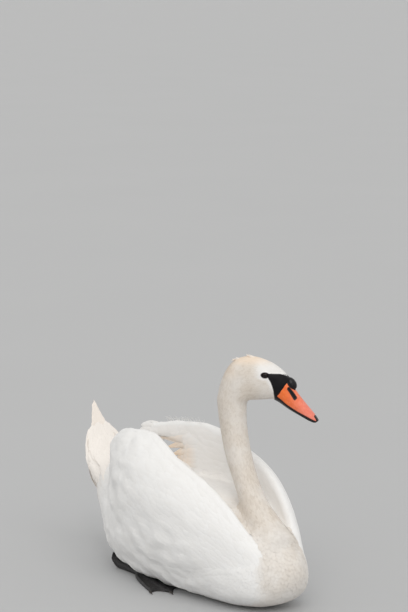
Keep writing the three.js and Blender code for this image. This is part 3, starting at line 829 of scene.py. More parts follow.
def lie_of_plumage(points, normals, tracts_here):
    """The way the feathers point at each place, in the surface."""
    x, y, z = points.T
    ahead, _, up = on_head(points).T
    # head: back from the bill, then down the nape
    turn_down = step_up(-ahead, 25, 75)[:, None]
    cheek = (0.30 * step_up(-up, 5, 40))[:, None]
    head_lie = -HEAD_AHEAD * (1 - turn_down) - UP * (turn_down + cheek)
    # neck: down its own curve
    share = np.clip((neck_top - 0.007 - z) / (neck_top - 0.007 - NECK_FOOT), 0, 1)
    lean = np.radians(NECK_FOOT_LEAN * share ** 1.15)
    neck_lie = np.stack([np.sin(lean), 0 * lean, -np.cos(lean)], 1)
    # trunk: round the breast, along the belly, then up the rump to the tail
    round_breast = np.stack([normals[:, 2], 0 * x, -normals[:, 0]], 1)
    trunk_lie = degrees_along(6 + (TAIL_LEAN - 6) * step_up(-x, 0.19, 0.31))
    trunk_lie = trunk_lie + 1.6 * round_breast * step_up(x, 0.10, 0.19)[:, None]
    by_neck = (step_up(z, 0.085, 0.15) * step_up(x, 0.09, 0.16))[:, None]
    lie = neck_lie * by_neck + trunk_lie * (1 - by_neck)
    # wings: back and up, levelling out to the rear, and along the crest near it
    inner = normals[:, 1] * np.sign(y) < 0.1
    wing_lie = degrees_along(np.interp(x, WING_TILT_X, WING_TILT) - 8 * inner)
    for node, line in crest_lines.items():
        along_crest = -read_off(x, crest_x, np.gradient(line, axis=0)) / CREST_STEP
        below = np.interp(x, crest_x, line[:, 2]) - z
        close = ((1 - step_up(below, 0.006, 0.045)) * is_in(tracts_here, node))[:, None]
        wing_lie = wing_lie * (1 - close) + unit(along_crest) * close
    lie = np.where(is_in(tracts_here, *WINGS)[:, None], wing_lie, lie)
    lie = np.where(is_in(tracts_here, *NECK)[:, None], neck_lie, lie)
    low_head = (step_up(-up, 40, 60) * step_up(-ahead, -10, 20))[:, None]
    head_lie = head_lie * (1 - low_head) + neck_lie * low_head
    lie = np.where(is_in(tracts_here, "head", *CORE)[:, None], head_lie, lie)
    return flattened(lie, normals)


face_middles = skin_points[skin_faces].mean(1)
face_tracts = tracts[skin_faces[:, 0]]


def strewn(wanted, gap_at, seed, rank):
    """Roots strewn over the wanted faces of the skin, no two nearer than the gap asked for there.
    With a rank they are set row behind row, so that they stagger as feathers do."""
    dice = np.random.default_rng(seed)
    faces = np.flatnonzero(wanted)
    corners = skin_points[skin_faces[faces]]
    ways = corners[:, 1:] - corners[:, :1]
    area = 0.5 * np.linalg.norm(np.cross(ways[:, 0], ways[:, 1]), axis=1)
    number = dice.poisson(6 * area / gap_at(face_middles[faces]) ** 2)
    picked = np.repeat(np.arange(len(faces)), number)
    first, second = dice.random((2, len(picked)))
    flip = first + second > 1
    first, second = np.where(flip, 1 - first, first), np.where(flip, 1 - second, second)
    spread = corners[picked, 0] + first[:, None] * ways[picked, 0] + second[:, None] * ways[picked, 1]
    gaps = gap_at(spread)
    neighbours = KDTree(len(spread))
    for k, p in enumerate(spread):
        neighbours.insert(p, k)
    neighbours.balance()
    if rank is None:
        order = dice.permutation(len(spread))
    else:
        order = np.argsort(rank(spread) + dice.normal(0, 0.12, len(spread)) * gaps)
    free = np.ones(len(spread), bool)
    kept = []
    for k in order:
        if free[k]:
            kept.append(k)
            free[[other for _, other, _ in neighbours.find_range(spread[k], gaps[k])]] = False
    return spread[kept], faces[picked[kept]]


def rolled_out(roots, kind):
    """Each root's place on the skin's own shape rolled out flat, from 0 to 1 both ways."""
    x, y, z = roots.T
    if kind == "head":
        ahead, side, up = (on_head(roots) - (-25, 0, -15)).T
        along = np.arctan2(np.hypot(side, up), ahead) / math.pi
        turn = np.arctan2(up, side)
    elif kind == "neck":
        along = (z - z.min()) / (z.max() - z.min())
        turn = np.arctan2(y, x - np.interp(z, (0.08, 0.16, 0.26, 0.40), (0.224, 0.186, 0.121, 0.089)))
    else:
        along = (x - x.min()) / (x.max() - x.min())
        turn = np.arctan2(z - z.mean(), y - y.mean())
    return np.stack([0.02 + 0.96 * along, 0.02 + 0.96 * (turn / (2 * math.pi) + 0.5)], 1)


SMALL_SECTION = ((-1, 0), (0, 1), (1, 0))
BROAD_SECTION = ((-1, 0), (-0.55, 0.75), (0, 1.15), (0.55, 0.75), (1, 0), (0, -0.25))
TIP_THICKNESS = 0.35     # of the root's
DRAPE_REACH = 0.006      # a corner nearer than this to the skin is laid along it
EDGE_DROOP = 0.0002
CREASE = math.radians(50)


def by_row(value, count, rows):
    """A value for all, or one for each feather, or one for each of its rows, as feather by row."""
    value = np.asarray(value, float)
    if value.ndim == 1:
        value = value[:, None]
    return np.broadcast_to(value, (count, rows))


def vanes(name, slot, kind, rows_at, ups, sides, halves, lifts, thick, cup, section, dice, fray, cream,
          peach, laid="free"):
    """One piece of many closed vanes. Places, directions, half widths and lifts are feather by row."""
    count, rows = halves.shape
    across, height = np.array(section).T
    width = len(section)
    shade = dice.random(count)
    ragged = dice.uniform(-1.6, 1.6, (count, rows, width)) * fray
    stand = lifts[:, :, None] + thick[:, None, None] * np.linspace(1, TIP_THICKNESS, rows)[:, None] * height
    hollow = cup[:, None, None] * across ** 2 * (halves / halves.max(1, keepdims=True))[:, :, None]
    corners = (rows_at[:, :, None] + (halves[:, :, None] * across)[..., None] * sides[:, :, None]
               + (stand - hollow)[..., None] * ups[:, :, None])
    tips = unit(rows_at[:, -1] - rows_at[:, -2])[:, None, None]
    reach = np.linalg.norm(rows_at[:, -1] - rows_at[:, 0], axis=1)[:, None, None]
    corners[:, -3:] += tips * (ragged[:, -3:] * reach)[..., None]
    stand = stand - EDGE_DROOP * np.abs(across)
    if laid == "draped":
        free = corners.reshape(-1, 3)
        held, held_up = onto_skin(free)
        near = (np.linalg.norm(free - held, axis=1) < DRAPE_REACH)[:, None]
        corners = np.where(near, held + held_up * stand.reshape(-1, 1), free)
    if laid == "wrapped":
        starts, up_rows, side_rows = (np.reshape(v, (-1, 3)) for v in (rows_at, ups, sides))
        for j in range(width):
            held, held_up = walked(starts, up_rows, side_rows, halves.ravel() * across[j])
            corners[:, :, j] = (held + held_up * stand[:, :, j].reshape(-1, 1)).reshape(count, rows, 3)
    # quads round each vane, and three-cornered faces over its two ends
    quads = tube_faces(rows, width)[:, ::-1]
    ends = np.array([(width - 1, k, k + 1) for k in range(width - 2)])
    ends = np.concatenate([ends, (rows - 1) * width + ends[:, ::-1]])
    own_loops = np.concatenate([quads.ravel(), ends.ravel()])
    loops = (np.arange(count)[:, None] * (rows * width) + own_loops).ravel()
    sizes = np.tile([4] * len(quads) + [3] * len(ends), count)
    mesh = bpy.data.meshes.new(name)
    mesh.vertices.add(count * rows * width)
    mesh.vertices.foreach_set("co", corners.astype(np.float32).ravel())
    mesh.loops.add(len(loops))
    mesh.loops.foreach_set("vertex_index", loops.astype(np.int32))
    mesh.polygons.add(len(sizes))
    mesh.polygons.foreach_set("loop_start", (np.cumsum(sizes) - sizes).astype(np.int32))
    mesh.polygons.foreach_set("loop_total", sizes.astype(np.int32))
    mesh.update(calc_edges=True)
    piece = chosen(linked(mesh, name))
    own = np.stack([np.tile(across, rows) / 2, np.repeat(np.linspace(0, 1, rows), width)], 1)
    own = np.tile(own, (count, 1))
    patch = np.repeat(rolled_out(rows_at[:, 0], kind), rows * width, axis=0) + 0.003 * (own - (0, 0.5))
    for label, flat in (("OFBake", patch), ("vane", own + (0.5, 0))):
        mesh.uv_layers.new(name=label).data.foreach_set("uv", flat[loops].astype(np.float32).ravel())
    give_value(piece, "root_at", np.repeat(rows_at[:, 0], rows * width, axis=0), "FLOAT_VECTOR", "vector")
    for label, value in (("shade", shade), ("cream", cream), ("peach", peach)):
        give_value(piece, label, np.repeat(by_row(value, count, rows).ravel(), width))
    bpy.ops.object.shade_smooth_by_angle(angle=CREASE)
    handed_over(piece, coat_look, slot)
    return piece


LETS_GO = 0.72       # how far the surface may turn under a feather before it stands off
HOLDS_TO = 0.85      # a feather that would stand off before this much of its length is left out
SIDE_OFF = 0.0032    # and so is one whose side would stand this far off
ROOT_SINK = 0.0002


def plumage(name, wanted, length_at, gap, seed, rise_at, shape, outline, section, kind, rank=None, swirl=5.0,
            fray=0.0, laid="free"):
    """A coat piece: vanes of the asked length strewn over the wanted faces and combed over the skin.
    The shape gives width, thickness and hollow as shares of the length."""
    roots, faces = strewn(wanted, lambda p: gap * length_at(p), seed, rank)
    dice = np.random.default_rng(seed + 1)
    tracts_here = tracts[skin_faces[faces, 0]]
    up = skin_normal_at(faces, roots)
    long = length_at(roots) * dice.uniform(0.88, 1.12, len(roots))
    go = lie_of_plumage(roots, up, tracts_here)
    angle = np.radians(dice.normal(0, swirl, len(roots)))[:, None]
    go = unit(go * np.cos(angle) + np.cross(up, go) * np.sin(angle))
    shares, widths = outline.T
    halves = long[:, None] * shape[0] * 0.5 * widths
    at = roots
    rows_at, ups, sides = [at], [up], [np.cross(up, go)]
    kept = np.ones(len(roots), bool)
    for before, after in zip(shares[:-1], shares[1:]):
        ahead_at = at + go * (long * (after - before))[:, None]
        held, held_up = onto_skin(ahead_at)
        lets_go = (held_up * up).sum(1) < LETS_GO
        kept &= ~lets_go | (before > HOLDS_TO)
        at = np.where(lets_go[:, None], ahead_at, held)
        up = np.where(lets_go[:, None], up, held_up)
        go = flattened(go, up)
        rows_at.append(at)
        ups.append(up)
        sides.append(np.cross(up, go))
    for row in range(1, len(shares)):
        for out_to in (-1, 1):
            edge_at = rows_at[row] + out_to * halves[:, row:row + 1] * sides[row]
            kept &= np.linalg.norm(onto_skin(edge_at)[0] - edge_at, axis=1) < SIDE_OFF
    rows_at, ups, sides = (np.stack(rows, 1)[kept] for rows in (rows_at, ups, sides))
    rise = np.broadcast_to(rise_at(roots), len(kept))[kept]
    roots, long, halves, tracts_here = roots[kept], long[kept], halves[kept], tracts_here[kept]
    rise = rise * dice.uniform(0.8, 1.15, len(roots))
    vanes(name, "cream_plumage" if kind in ("head", "neck") else "white_plumage", kind, rows_at, ups, sides,
          halves, rise[:, None] * shares ** 0.8 - ROOT_SINK, long * shape[1], long * shape[2], section, dice,
          fray, cream_at(roots, tracts_here), peach_at(roots, ups[:, 0], tracts_here), laid)


HAIR_OUTLINE = np.array(((0, 0.5), (0.55, 1.0), (1.0, 0.12)))
FINE_OUTLINE = np.array(((0, 0.4), (0.45, 1.0), (0.82, 0.72), (1.0, 0.12)))
FULL_OUTLINE = np.array(((0, 0.3), (0.3, 0.86), (0.58, 1.0), (0.80, 0.86), (0.93, 0.56), (1.0, 0.22)))


def head_length(points):
    spots = on_head(points)
    edge = -np.where(spots[:, 0] > FACE_BEHIND, bare_depth(spots), -9)
    return MM * (3.0 + 2.4 * step_up(edge, 0, 12) + 1.8 * step_up(-spots[:, 0], 10, 70))


def head_rise(points):
    ahead, _, up = on_head(points).T
    return 0.00035 + 0.0005 * (step_up(-ahead, 22, 62) * step_up(up, -50, -10))


def neck_length(points):
    return MM * np.interp(points[:, 2], (0.10, 0.16, 0.26, 0.36, 0.40), (13, 11.5, 9.5, 8.0, 7.2))


def trunk_length(points):
    return MM * (15 + 11 * step_up(-points[:, 0], -0.2, 0.0) + 20 * step_up(-points[:, 0], 0.18, 0.32))


def wing_length(points):
    return MM * (21 + 11 * step_up(-points[:, 0], -0.18, 0.0) + 10 * step_up(-points[:, 0], 0.0, 0.16))


ahead, _, up = on_head(face_middles).T
on_bill = by_face(face_middles) & (ahead > np.interp(up, (-60, -45, 0, 10), (14, 17, 44, 44)))
head_faces = is_in(face_tracts, "head", *EYES) & (bare_at(face_middles) < -0.3) & ~on_bill
plumage("coat_head", head_faces, head_length, 0.27, 11, head_rise, (0.50, 0.026, 0.03), HAIR_OUTLINE,
        SMALL_SECTION, "head", swirl=9)
plumage("coat_neck", is_in(face_tracts, *NECK), neck_length, 0.27, 21, lambda p: 0.0005, (0.46, 0.020, 0.02),
        FINE_OUTLINE, SMALL_SECTION, "neck", swirl=9)

# the tail's root and its directions: back along it, and up off its upper face
fan_low, fan_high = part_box("tail_fan")
fan_root = np.array([fan_high.x - 0.003, 0, fan_low.z])
fan_lean = math.radians(TAIL_LEAN)
fan_back = np.array([-math.cos(fan_lean), 0, math.sin(fan_lean)])
fan_up = np.array([math.sin(fan_lean), 0, math.cos(fan_lean)])
COVERTS_FROM = 0.030             # along the tail, where its coverts take over
on_stern = (face_middles[:, 0] < -0.24) & ((face_middles - fan_root) @ fan_back > COVERTS_FROM)
plumage("coat_trunk", is_in(face_tracts, "trunk") & ~on_stern, trunk_length, 0.30, 31, lambda p: 0.0015,
        (0.52, 0.014, 0.025), FULL_OUTLINE, SMALL_SECTION, "trunk", rank=lambda p: -p[:, 0], fray=0.02,
        laid="draped")

WING_RIM = 0.0042                # no feathers where the wing is thinner than this
face_room = room[skin_faces].min(1)
for node, seed in (("wing_left", 41), ("wing_right", 51)):
    plumage("coat_" + node, is_in(face_tracts, node) & (face_room > WING_RIM), wing_length, 0.31, seed,
            lambda p: np.interp(p[:, 0], (-0.12, 0.04), (0.0012, 0.0005)), (0.58, 0.013, 0.022), FULL_OUTLINE,
            BROAD_SECTION, node, rank=lambda p: -p[:, 0] * 0.94 + p[:, 2] * 0.34, fray=0.02, laid="draped")

# ------------------------------------------------------------------ long feathers
# Tail, folded wing tips, the inner feathers of the raised wings and the rows along their crests.
# Each is a long closed vane on a bowed shaft, set from its root to its tip.
LONG_OUTLINE = np.array(((0, 0.20), (0.12, 0.48), (0.30, 0.80), (0.50, 0.96), (0.68, 1.0), (0.82, 0.90),
                         (0.91, 0.70), (0.965, 0.45), (1.0, 0.12)))
ROUND_OUTLINE = np.array(((0, 0.30), (0.20, 0.72), (0.42, 0.96), (0.64, 1.0), (0.80, 0.90), (0.91, 0.66),
                          (0.97, 0.40), (1.0, 0.12)))
TAIL_OUTLINE = np.array(((0, 0.35), (0.15, 0.60), (0.35, 0.86), (0.58, 1.0), (0.76, 0.95), (0.88, 0.76),
                         (0.95, 0.50), (1.0, 0.10)))


def long_feathers(name, rows_at, rows_up, wide, outline, seed, kind="trunk", peach=0.0, thick=0.0011,
                  cup=0.0016, fray=0.012, lifts=0.0, laid="free"):
    """Closed vanes through the given rows of places, feather by row. The upward direction is one for
    all, or one for each feather, or one for each of its rows."""
    rows_at, rows_up = np.array(rows_at, float), np.array(rows_up, float)
    if rows_up.ndim == 2:
        rows_up = rows_up[:, None]
    count, rows = rows_at.shape[:2]
    go = unit(np.gradient(rows_at, axis=1))
    sides = unit(np.cross(rows_up, go))
    halves = by_row(wide, count, rows) * 0.5 * outline[:, 1]
    return vanes(name, "white_plumage", kind, rows_at, np.cross(go, sides), sides, halves,
                 np.broadcast_to(lifts, halves.shape), np.full(count, thick), np.full(count, cup),
                 BROAD_SECTION, np.random.default_rng(seed), fray, 0.0, peach, laid)


def bowed(root, tip, up, bow, outline):
    """Rows along a shaft from root to tip that rises by the bow at its middle."""
    shares = outline[:, :1]
    root, tip, up = (np.array(v, float) for v in (root, tip, up))
    return root * (1 - shares) + tip * shares + up / np.linalg.norm(up) * bow * 4 * shares * (1 - shares)


# tail: a fan of broad feathers, the middle pair longest and uppermost
FAN_REACH = 0.178
FAN_AT = (0, 0.1, 0.2, 0.3, 0.4, 0.5, 0.6, 0.8, 1.0)
FAN_SHARES = (1.0, 0.93, 0.86, 0.80, 0.74, 0.69, 0.65, 0.58, 0.50)
FAN_SPREAD = math.radians(15)
FAN_HOLLOW = 2.6
FAN_PAIRS = 14
FAN_WAYS = np.array([fan_back, (0, 1, 0), fan_up])


def on_fan(back, out, up):
    """Places by how far they are back along the tail, out to the left and up off its upper face."""
    return fan_root + np.stack([back, out, up], -1) @ FAN_WAYS


rows_at, wide = [], []
for step in range(-FAN_PAIRS, FAN_PAIRS + 1):
    u = step / FAN_PAIRS
    reach = FAN_REACH * np.interp(abs(u), FAN_AT, FAN_SHARES)
    phi = FAN_SPREAD * u * (1 + 0.5 * u * u)
    out_at = math.sin(phi) * reach * 0.8 + u * 0.008
    stack = 0.0042 * (1 - abs(u)) - 0.0010 + 0.0005 * (step % 2)
    root = on_fan(0.012, 0.015 * u, stack)
    tip = on_fan(reach * (0.65 + 0.35 * math.cos(phi)), out_at, stack * 0.35 - FAN_HOLLOW * out_at ** 2)
    rows_at.append(bowed(root, tip, fan_up, -0.0035, TAIL_OUTLINE))
    wide.append(0.023 - 0.004 * abs(u))
tail = long_feathers("tail_feathers", rows_at, fan_up, wide, TAIL_OUTLINE, 61, peach=0.30, thick=0.0012)
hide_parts("tail_fan")

# tail coverts: rings of soft feathers that carry the rump's plumage out over the fan's foot
STERN_AT = (-0.03, 0.0, 0.03, 0.06, 0.09, 0.12)                      # along the tail
STERN = np.array(((0.060, 0.054, 0.053, 0.048, 0.039, 0.025),        # half width there
                  (0.050, 0.057, 0.050, 0.014, 0.0030, 0.0018),      # above the fan
                  (0.016, 0.019, 0.021, 0.017, 0.0060, 0.0045))).T   # below it
COVERT_ROOTS = (0.054, 0.046, 0.036, 0.024, 0.010, -0.004)
COVERTS_ROUND = 30
dice = np.random.default_rng(62)
rows_at, rows_up, wide = [], [], []
shares = ROUND_OUTLINE[:, 0]
for ring, start in enumerate(COVERT_ROOTS):
    for k in range(COVERTS_ROUND):
        turn = 2 * math.pi * (k + 0.5 * (ring % 2)) / COVERTS_ROUND
        aside, above = math.cos(turn), math.sin(turn)
        long = dice.uniform(0.050, 0.084) * (1 if above > 0.25 else 0.86)
        along = start + dice.normal(0, 0.004) + long * shares
        half, over, under = read_off(along, STERN_AT, STERN).T
        half = half * (0.90 + 0.10 * (k % 3) / 2)
        deep = over if above > 0 else under
        line = on_fan(along, half * aside, deep * above)
        # the side ones turn flat towards their tips, and all settle on the skin
        flatter = step_up(along, 0.02, 0.06)
        out_of = (0 * along, aside / half * (1 - 0.8 * flatter), (above + 0.12 * flatter) / deep)
        out_of = unit(np.stack(out_of, 1) @ FAN_WAYS)
        held, held_up = onto_skin(line)
        inside = ((line - held) * held_up).sum(1)
        short = 0.0052 * shares ** 0.6 - 0.0020 - inside
        settle = np.maximum(short, 0) + np.minimum(short, 0) * (1 - step_up(shares, 0, 0.5))
        rows_at.append(line + out_of * np.where(np.abs(inside) < 0.05, settle, 0)[:, None])
        rows_up.append(out_of)
        wide.append(0.013 + 0.011 * abs(above))
long_feathers("tail_coverts", rows_at, rows_up, wide, ROUND_OUTLINE, 63, peach=0.20, thick=0.0009,
              cup=0.0020)

# folded wing tips: a stack of narrow feathers over the rump on each side
for side, word in ((1, "left"), (-1, "right")):
    low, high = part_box("primaries_" + word)
    lean = (-0.05, side * 0.45, 0.9)
    rows_at = []
    for k in range(8):
        share = k / 7
        root = (high.x - 0.006 - 0.004 * k, side * (0.036 - 0.004 * share), 0.214 + 0.0016 * k)
        tip = (low.x + 0.070 * (1 - share) ** 1.3, side * (0.036 - 0.012 * share), 0.222 + 0.014 * share)
        rows_at.append(bowed(root, tip, lean, 0.008, LONG_OUTLINE))
    made = long_feathers("wing_tips_" + word, rows_at, lean, 0.024, LONG_OUTLINE, 65 + side, peach=0.10,
                         thick=0.001)
    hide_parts("primaries_" + word)

# crest: narrow feathers laid like ridge tiles along the top of each raised wing
RIDGE_OUTLINE = np.array(((0, 0.5), (0.2, 0.8), (0.4, 0.96), (0.6, 1.0), (0.78, 0.86), (0.90, 0.62),
                          (1.0, 0.20)))
RIDGE_LONG = 0.046
RIDGE_END = -0.227
ridge_x = np.arange(-0.250, 0.222, 0.002)
shares = RIDGE_OUTLINE[:, 0]


def crest_at(node, x):
    found = read_off(x, crest_x, crest_lines[node])
    found[:, 0] = x
    return found


for word, seed in (("left", 45), ("right", 55)):
    ridge = []
    for p in crest_at("wing_" + word, ridge_x):
        hit, normal, _, _ = skin_tree.ray_cast(Vector(p + 0.02 * UP), Vector(-UP), 0.04)
        on_top = hit and abs(hit.z - p[2]) < 0.006
        ridge.append((*hit, *normal) if on_top else (*p, *UP))
    ridge = running_mean(np.array(ridge) + (0, 0, 0, 0, 0, 1.2), 15)
    dice = np.random.default_rng(seed)
    rows_at, rows_up = [], []
    for start in np.arange(-0.194, 0.214, 0.0048):
        off_line = dice.normal(0, 0.0016)
        along = start - min(RIDGE_LONG * dice.uniform(0.85, 1.1), start - RIDGE_END) * shares
        found = read_off(along, ridge_x, ridge)
        found[:, 0] = along
        found[:, 1] += off_line * shares
        found[:, 2] += 0.0006 + 0.0016 * shares
        rows_at.append(found[:, :3])
        rows_up.append(unit(found[:, 3:]))
    long_feathers("crest_" + word, rows_at, rows_up, 0.026, RIDGE_OUTLINE, seed + 1, kind="wing_" + word,
                  thick=0.0005, cup=0.0036, fray=0.02, lifts=0.0002 + 0.0012 * shares, laid="wrapped")

# the left wing's inner feathers stand apart over the rump, warm coloured, with gaps between them
TERTIAL_OUTLINE = np.array(((0, 0.14), (0.12, 0.44), (0.28, 0.84), (0.45, 1.0), (0.60, 0.78), (0.72, 0.54),
                            (0.83, 0.36), (0.92, 0.22), (1.0, 0.06)))
TERTIALS = (((-0.100, 0.272), (-0.2165, 0.064, 0.2545), 0.022, 0.55),      # root, tip, width, warmth
            ((-0.098, 0.268), (-0.1950, 0.064, 0.2370), 0.017, 0.80),
            ((-0.094, 0.254), (-0.1725, 0.064, 0.2262), 0.019, 0.80),
            ((-0.100, 0.240), (-0.1680, 0.066, 0.2150), 0.021, 0.60))
BEFORE_GAP = -0.134              # the feathers lie on the wing up to here, and stand free behind
WING_INSIDE = 0.040              # from the middle of the bird to just inside the raised wing
WING_OUTSIDE = 0.12              # and to well outside it


def on_inner_face(points):
    """The left wing's inner face beside these places, and its normals there."""
    return onto_skin(np.atleast_2d(points) * (1, 0, 1) + (0, WING_INSIDE, 0))


rows_at, wide, warm = [], [], []
shares = TERTIAL_OUTLINE[:, :1]
sunk = 0.0014 * step_up(shares, 0.15, 0.55) - 0.0045 * step_up(-shares, -0.42, -0.08)
for (root_x, root_z), tip, across, stain in TERTIALS:
    for layer in range(2):
        root = on_inner_face((root_x + 0.016 * layer, 0, root_z + 0.003 * layer))[0][0]
        tip_at = np.array(tip) + (0.034 * layer, -0.0012 * layer, 0.007 * layer)
        line = bowed(root, tip_at, (0, -0.9, 0.3), 0.002, TERTIAL_OUTLINE)
        held, held_up = on_inner_face(line)
        held = held + held_up * (sunk + 0.0006 * layer)
        on_wing = line[:, 0] > BEFORE_GAP
        line[:, 1] = np.minimum(line[:, 1], held[on_wing][-1, 1] + 0.001)
        rows_at.append(np.where(on_wing[:, None], held, line))
        wide.append(across)
        warm.append(stain * (1 - 0.30 * layer) * (0.25 + 0.75 * step_up(shares[:, 0], 0.20, 0.85)))
long_feathers("tertials_left", rows_at, (0, -1, 0.14), wide, TERTIAL_OUTLINE, 82, kind="wing_left",
              peach=warm, thick=0.0009)
# broad coverts lie over their roots
dice = np.random.default_rng(81)
rows_at, rows_up, warm = [], [], []
shares = ROUND_OUTLINE[:, :1]
for k in range(14):
    share = k / 13
    root = on_inner_face((-0.062 - 0.014 * (k % 2), 0, 0.214 + 0.062 * share))[0][0]
    held, held_up = on_inner_face(root + np.array([-dice.uniform(0.046, 0.054), 0, -0.006]) * shares)
    rows_at.append(held + held_up * (0.0052 * shares - 0.0016))
    rows_up.append(held_up)
    warm.append(0.46 * (1 - 0.75 * step_up(share, 0.55, 0.95)) * step_up(shares[:, 0], 0.25, 1.1))
long_feathers("tertial_coverts_left", rows_at, rows_up, 0.021, ROUND_OUTLINE, 89, kind="wing_left",
              peach=warm, thick=0.0005, cup=0.0010)

# behind them the rear of the wing closes again, from above and from below
OUTWARD = (0, 1, 0.1)
feathers = []


def set_in(root, tip, face, bow, up, width, warmth=0.04):
    feathers.append((bowed(root, tip, face, bow, LONG_OUTLINE), up, width, warmth))


for k in range(14):
    share = k / 13
    x, z = -0.188 - 0.018 * share, 0.278 - 0.007 * share
    faces_at = onto_skin([(x, WING_OUTSIDE, z), (x, 0.02, z)])[0]
    root = np.array([x, faces_at[:, 1].mean(), z])
    tip = np.array([-0.270 + 0.040 * share, root[1] - 0.010, 0.262 - 0.036 * share])
    tip = tip + dice.normal(0, 1, 3) * (0.004, 0.0012, 0.002)
    set_in(root, tip, OUTWARD, 0.004, (0, 1, dice.uniform(0.05, 0.4)), dice.uniform(0.011, 0.015))
for k in range(13):
    share = k / 12
    root = np.array([-0.166 - 0.055 * share, 0.074 - 0.019 * share, 0.200])
    tip = root + (-0.058 + 0.026 * share, -0.011 + 0.006 * share, 0.023)
    tip = tip + dice.normal(0, 1, 3) * (0.005, 0.0012, 0.003)
    set_in(root, tip, OUTWARD, 0.003, (0, 1, dice.uniform(-0.3, 0.1)), dice.uniform(0.011, 0.015))
# and the last feathers of its upper edge run out behind
for k in range(12):
    share = k / 11
    held, held_up = onto_skin([(-0.206 - 0.006 * (k % 2), 0.050, 0.287 - 0.034 * share)])
    root = held[0] - held_up[0] * 0.003
    tip = np.array([-0.268 - 0.012 * share, 0.050 - 0.0012 * (k % 3), 0.2735 - 0.020 * share])
    tip = tip + dice.normal(0, 1, 3) * (0.004, 0.0006, 0.0015)
    set_in(root, tip, (0, -0.7, 0.6), 0.003, (0, -1, 0.3), 0.013)
# in front of the gap the outer coverts lap over its edge
for k in range(15):
    start_x = -0.100 - dice.uniform(0, 0.026)
    held, held_up = onto_skin([(start_x, WING_OUTSIDE, 0.212 + 0.052 * k / 14)])
    root = held[0] - held_up[0] * 0.0032
    tip = root + (-0.048 - dice.uniform(0, 0.016), -0.0085, 0.003)
    set_in(root, tip, OUTWARD, 0.0026, (0, 1, 0.16), dice.uniform(0.017, 0.021), 0.02)
rows_at, rows_up, wide, warm = zip(*feathers)
long_feathers("inner_feathers_left", rows_at, rows_up, wide, LONG_OUTLINE, 83, kind="wing_left", peach=warm,
              thick=0.0006, cup=0.0012)

# a few longer feathers stand off the crown
TUFT_OUTLINE = np.array(((0, 0.5), (0.3, 1.0), (0.6, 0.85), (0.85, 0.5), (1.0, 0.15)))
dice = np.random.default_rng(86)
rows_at, rows_up = [], []
shares = TUFT_OUTLINE[:, :1]
for _ in range(26):
    ahead_at = dice.choice((-24.0, -58.0), p=(0.62, 0.38)) + dice.normal(0, 3.0)
    held, held_up = onto_skin(from_head(np.array([[ahead_at, dice.normal(0, 4.5), 40.0]])))
    for _ in range(3):
        held, held_up = onto_skin(held + held_up * 0.004)
    back = flattened(-HEAD_AHEAD[None], held_up) * dice.uniform(0.010, 0.015)
    stand = dice.uniform(0.0010, 0.0042)
    rows_at.append(held + back * shares + held_up * (stand * shares ** 1.6 - 0.0006))
    rows_up.append(held_up[0])
long_feathers("crown_tuft", rows_at, rows_up, 0.0042, TUFT_OUTLINE, 87, kind="head", peach=0.45,
              thick=0.0003, cup=0.0006, fray=0.03)

# down: a few loose wisps stand up from the left wing's crest
WISP_OUTLINE = np.array(((0, 1.0), (0.35, 0.9), (0.7, 0.7), (1.0, 0.3)))
rows_at = []
shares = WISP_OUTLINE[:, :1]
for k in range(44):
    foot = crest_at("wing_left", np.array([-0.185 + 0.105 * (k + dice.uniform(-0.4, 0.4)) / 43]))[0]
    foot = foot + (0, dice.normal(0, 0.003), -0.001)
    rise = dice.uniform(0.007, 0.014)
    lean = np.array([dice.normal(-0.55, 0.5), dice.normal(0, 0.3), 1.0])
    rows_at.append(foot + lean * rise * shares + np.array([-0.6, 0, -0.25]) * rise * shares ** 2)
long_feathers("crest_down_left", rows_at, (0.3, 1.0, 0.2), 0.0013, WISP_OUTLINE, 84, kind="wing_left",
              thick=0.0003, cup=0.0, fray=0.0)

# ------------------------------------------------------------------ legs
# Dark grey leathery legs, tucked under the flanks with the webs flat on the floor. Each foot has
# three toes with knuckles and a web between them, and each toe ends in a small horn claw.
HIDE = (0.028, 0.028, 0.031, 1)
HIDE_PALE = (0.062, 0.058, 0.056, 1)
HIDE_CREASE = (0.012, 0.012, 0.013, 1)
leg_look, tree, base = new_material("leg_look", 0.5, 0.35)
place = own_place(tree)
scutes = add_node(tree, "TexVoronoi", {"Vector": place, "Scale": 480}).outputs["Distance"]
hide = mix_colour(tree, noise(tree, place, 60), HIDE, HIDE_PALE)
hide = mix_colour(tree, band(tree, scutes, 0.25, 0.75, 0, 0.45), hide, HIDE_CREASE)
tree.links.new(hide, base.inputs["Base Color"])
tree.links.new(band(tree, noise(tree, place, 200), 0.3, 0.7, 0.42, 0.62), base.inputs["Roughness"])
add_bump(tree, scutes, 0.5, 0.0008, base)

CLAW = (0.020, 0.018, 0.017, 1)
CLAW_PALE = (0.060, 0.050, 0.042, 1)
claw_look, tree, base = new_material("claw_look", 0.35, 0.4)
place = own_place(tree)
tree.links.new(mix_colour(tree, noise(tree, place, 500), CLAW, CLAW_PALE), base.inputs["Base Color"])
add_bump(tree, noise(tree, place, 900), 0.2, 0.0003, base)

LEG_GRID = 0.0016
TOE_TURN = math.radians(9)
TOE_FAN = math.radians(4)
TOE_REACH = 0.138
TOE_LANES = np.array([-0.94, 0, 0.94])       # where the toes lie in the web's half width
TOE_HALF = 0.0035
WEB_HALF = 0.029
HEEL_HALF = 0.012
KNUCKLE_GAP = 0.034
SCUTE_GAP = 0.0032
SHANK_RING_GAP = 0.0042
CLAW_LONG = 0.012


def half_web(share):
    return HEEL_HALF + (WEB_HALF - HEEL_HALF) * np.sin(math.pi / 2 * np.clip(share, 0, 1) ** 0.8)


def waves(along, gap):
    return 2 * math.pi * along / gap


def turned(points, angle):
    """Places turned to the left about the upright."""
    return points @ np.array(Matrix.Rotation(angle, 3, "Z")).T


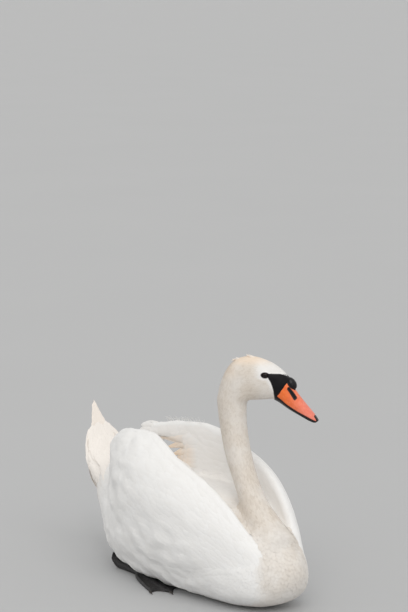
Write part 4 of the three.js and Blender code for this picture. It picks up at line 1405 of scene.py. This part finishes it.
for side, word in ((1, "left"), (-1, "right")):
    foot = refined("foot_" + word, "web_" + word, LEG_GRID, 6)
    points = points_of(foot)
    heel = points[points[:, 0] < points[:, 0].min() + 0.004].mean(0)
    turn = side * TOE_TURN
    ahead, across, _ = turned(points - heel, -turn).T
    across = side * across
    share = np.clip(ahead / TOE_REACH, 0, 1)
    lane = across / half_web(share) - TOE_FAN * share
    to_toe = np.min(np.abs(lane[:, None] - TOE_LANES), 1) * half_web(share)
    on_toe = bump_at(to_toe, 0, TOE_HALF)
    knuckle = 0.5 + 0.5 * np.cos(waves(ahead, KNUCKLE_GAP))
    rise = on_toe * (0.0006 + 0.0012 * knuckle + 0.00018 * np.sin(waves(ahead, SCUTE_GAP)))
    fold = 0.00035 * np.sin(across * 1400 + 6 * share) * step_up(share, 0.2, 0.7)
    rise = rise + (1 - on_toe) * (fold - 0.0008 * step_up(share, 0.3, 0.8))
    points[:, 2] += step_up(normals_of(foot)[:, 2], 0.2, 0.7) * rise
    points[:, 2] = np.maximum(points[:, 2], 0)
    set_points(foot, points)

    shank = refined("shank_" + word, "leg_" + word, LEG_GRID, 8)
    points = points_of(shank)
    ring = 0.00022 * np.sin(waves(points[:, 0], SHANK_RING_GAP))
    set_points(shank, points + normals_of(shank) * ring[:, None])

    claws = []
    for toe in (-1, 0, 1):
        reach = TOE_REACH * (1 - 0.16 * abs(toe)) - 0.003
        base_at = heel + turned((reach, side * WEB_HALF * TOE_LANES[toe + 1], 0), turn)
        bpy.ops.object.select_all(action="DESELECT")
        bpy.ops.mesh.primitive_cone_add(vertices=14, radius1=0.0028, radius2=0.0004, depth=CLAW_LONG)
        claw = edited(bpy.context.active_object, lambda: bpy.ops.mesh.subdivide(number_cuts=3))
        out, up, along = points_of(claw).T
        hook = 0.0034 - 0.0030 * (along / CLAW_LONG + 0.5) ** 2
        shape = np.stack([along + CLAW_LONG / 2, out, up * 0.85 + hook], 1)
        shape = turned(shape, turn + side * toe * TOE_FAN) + (base_at[0], base_at[1] + side * toe * 0.007, 0)
        shape[:, 2] = np.maximum(shape[:, 2], 0.0001)
        set_points(claw, shape)
        claws.append(claw)
    claws = joined(claws, "claws_" + word)
    for piece, look, nodes in ((foot, leg_look, ["foot_" + word]), (shank, leg_look, ["shank_" + word]),
                               (claws, claw_look, [])):
        smoothed(edited(piece, face_out))
        handed_over(piece, look, "leg_skin", *nodes)

low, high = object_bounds()
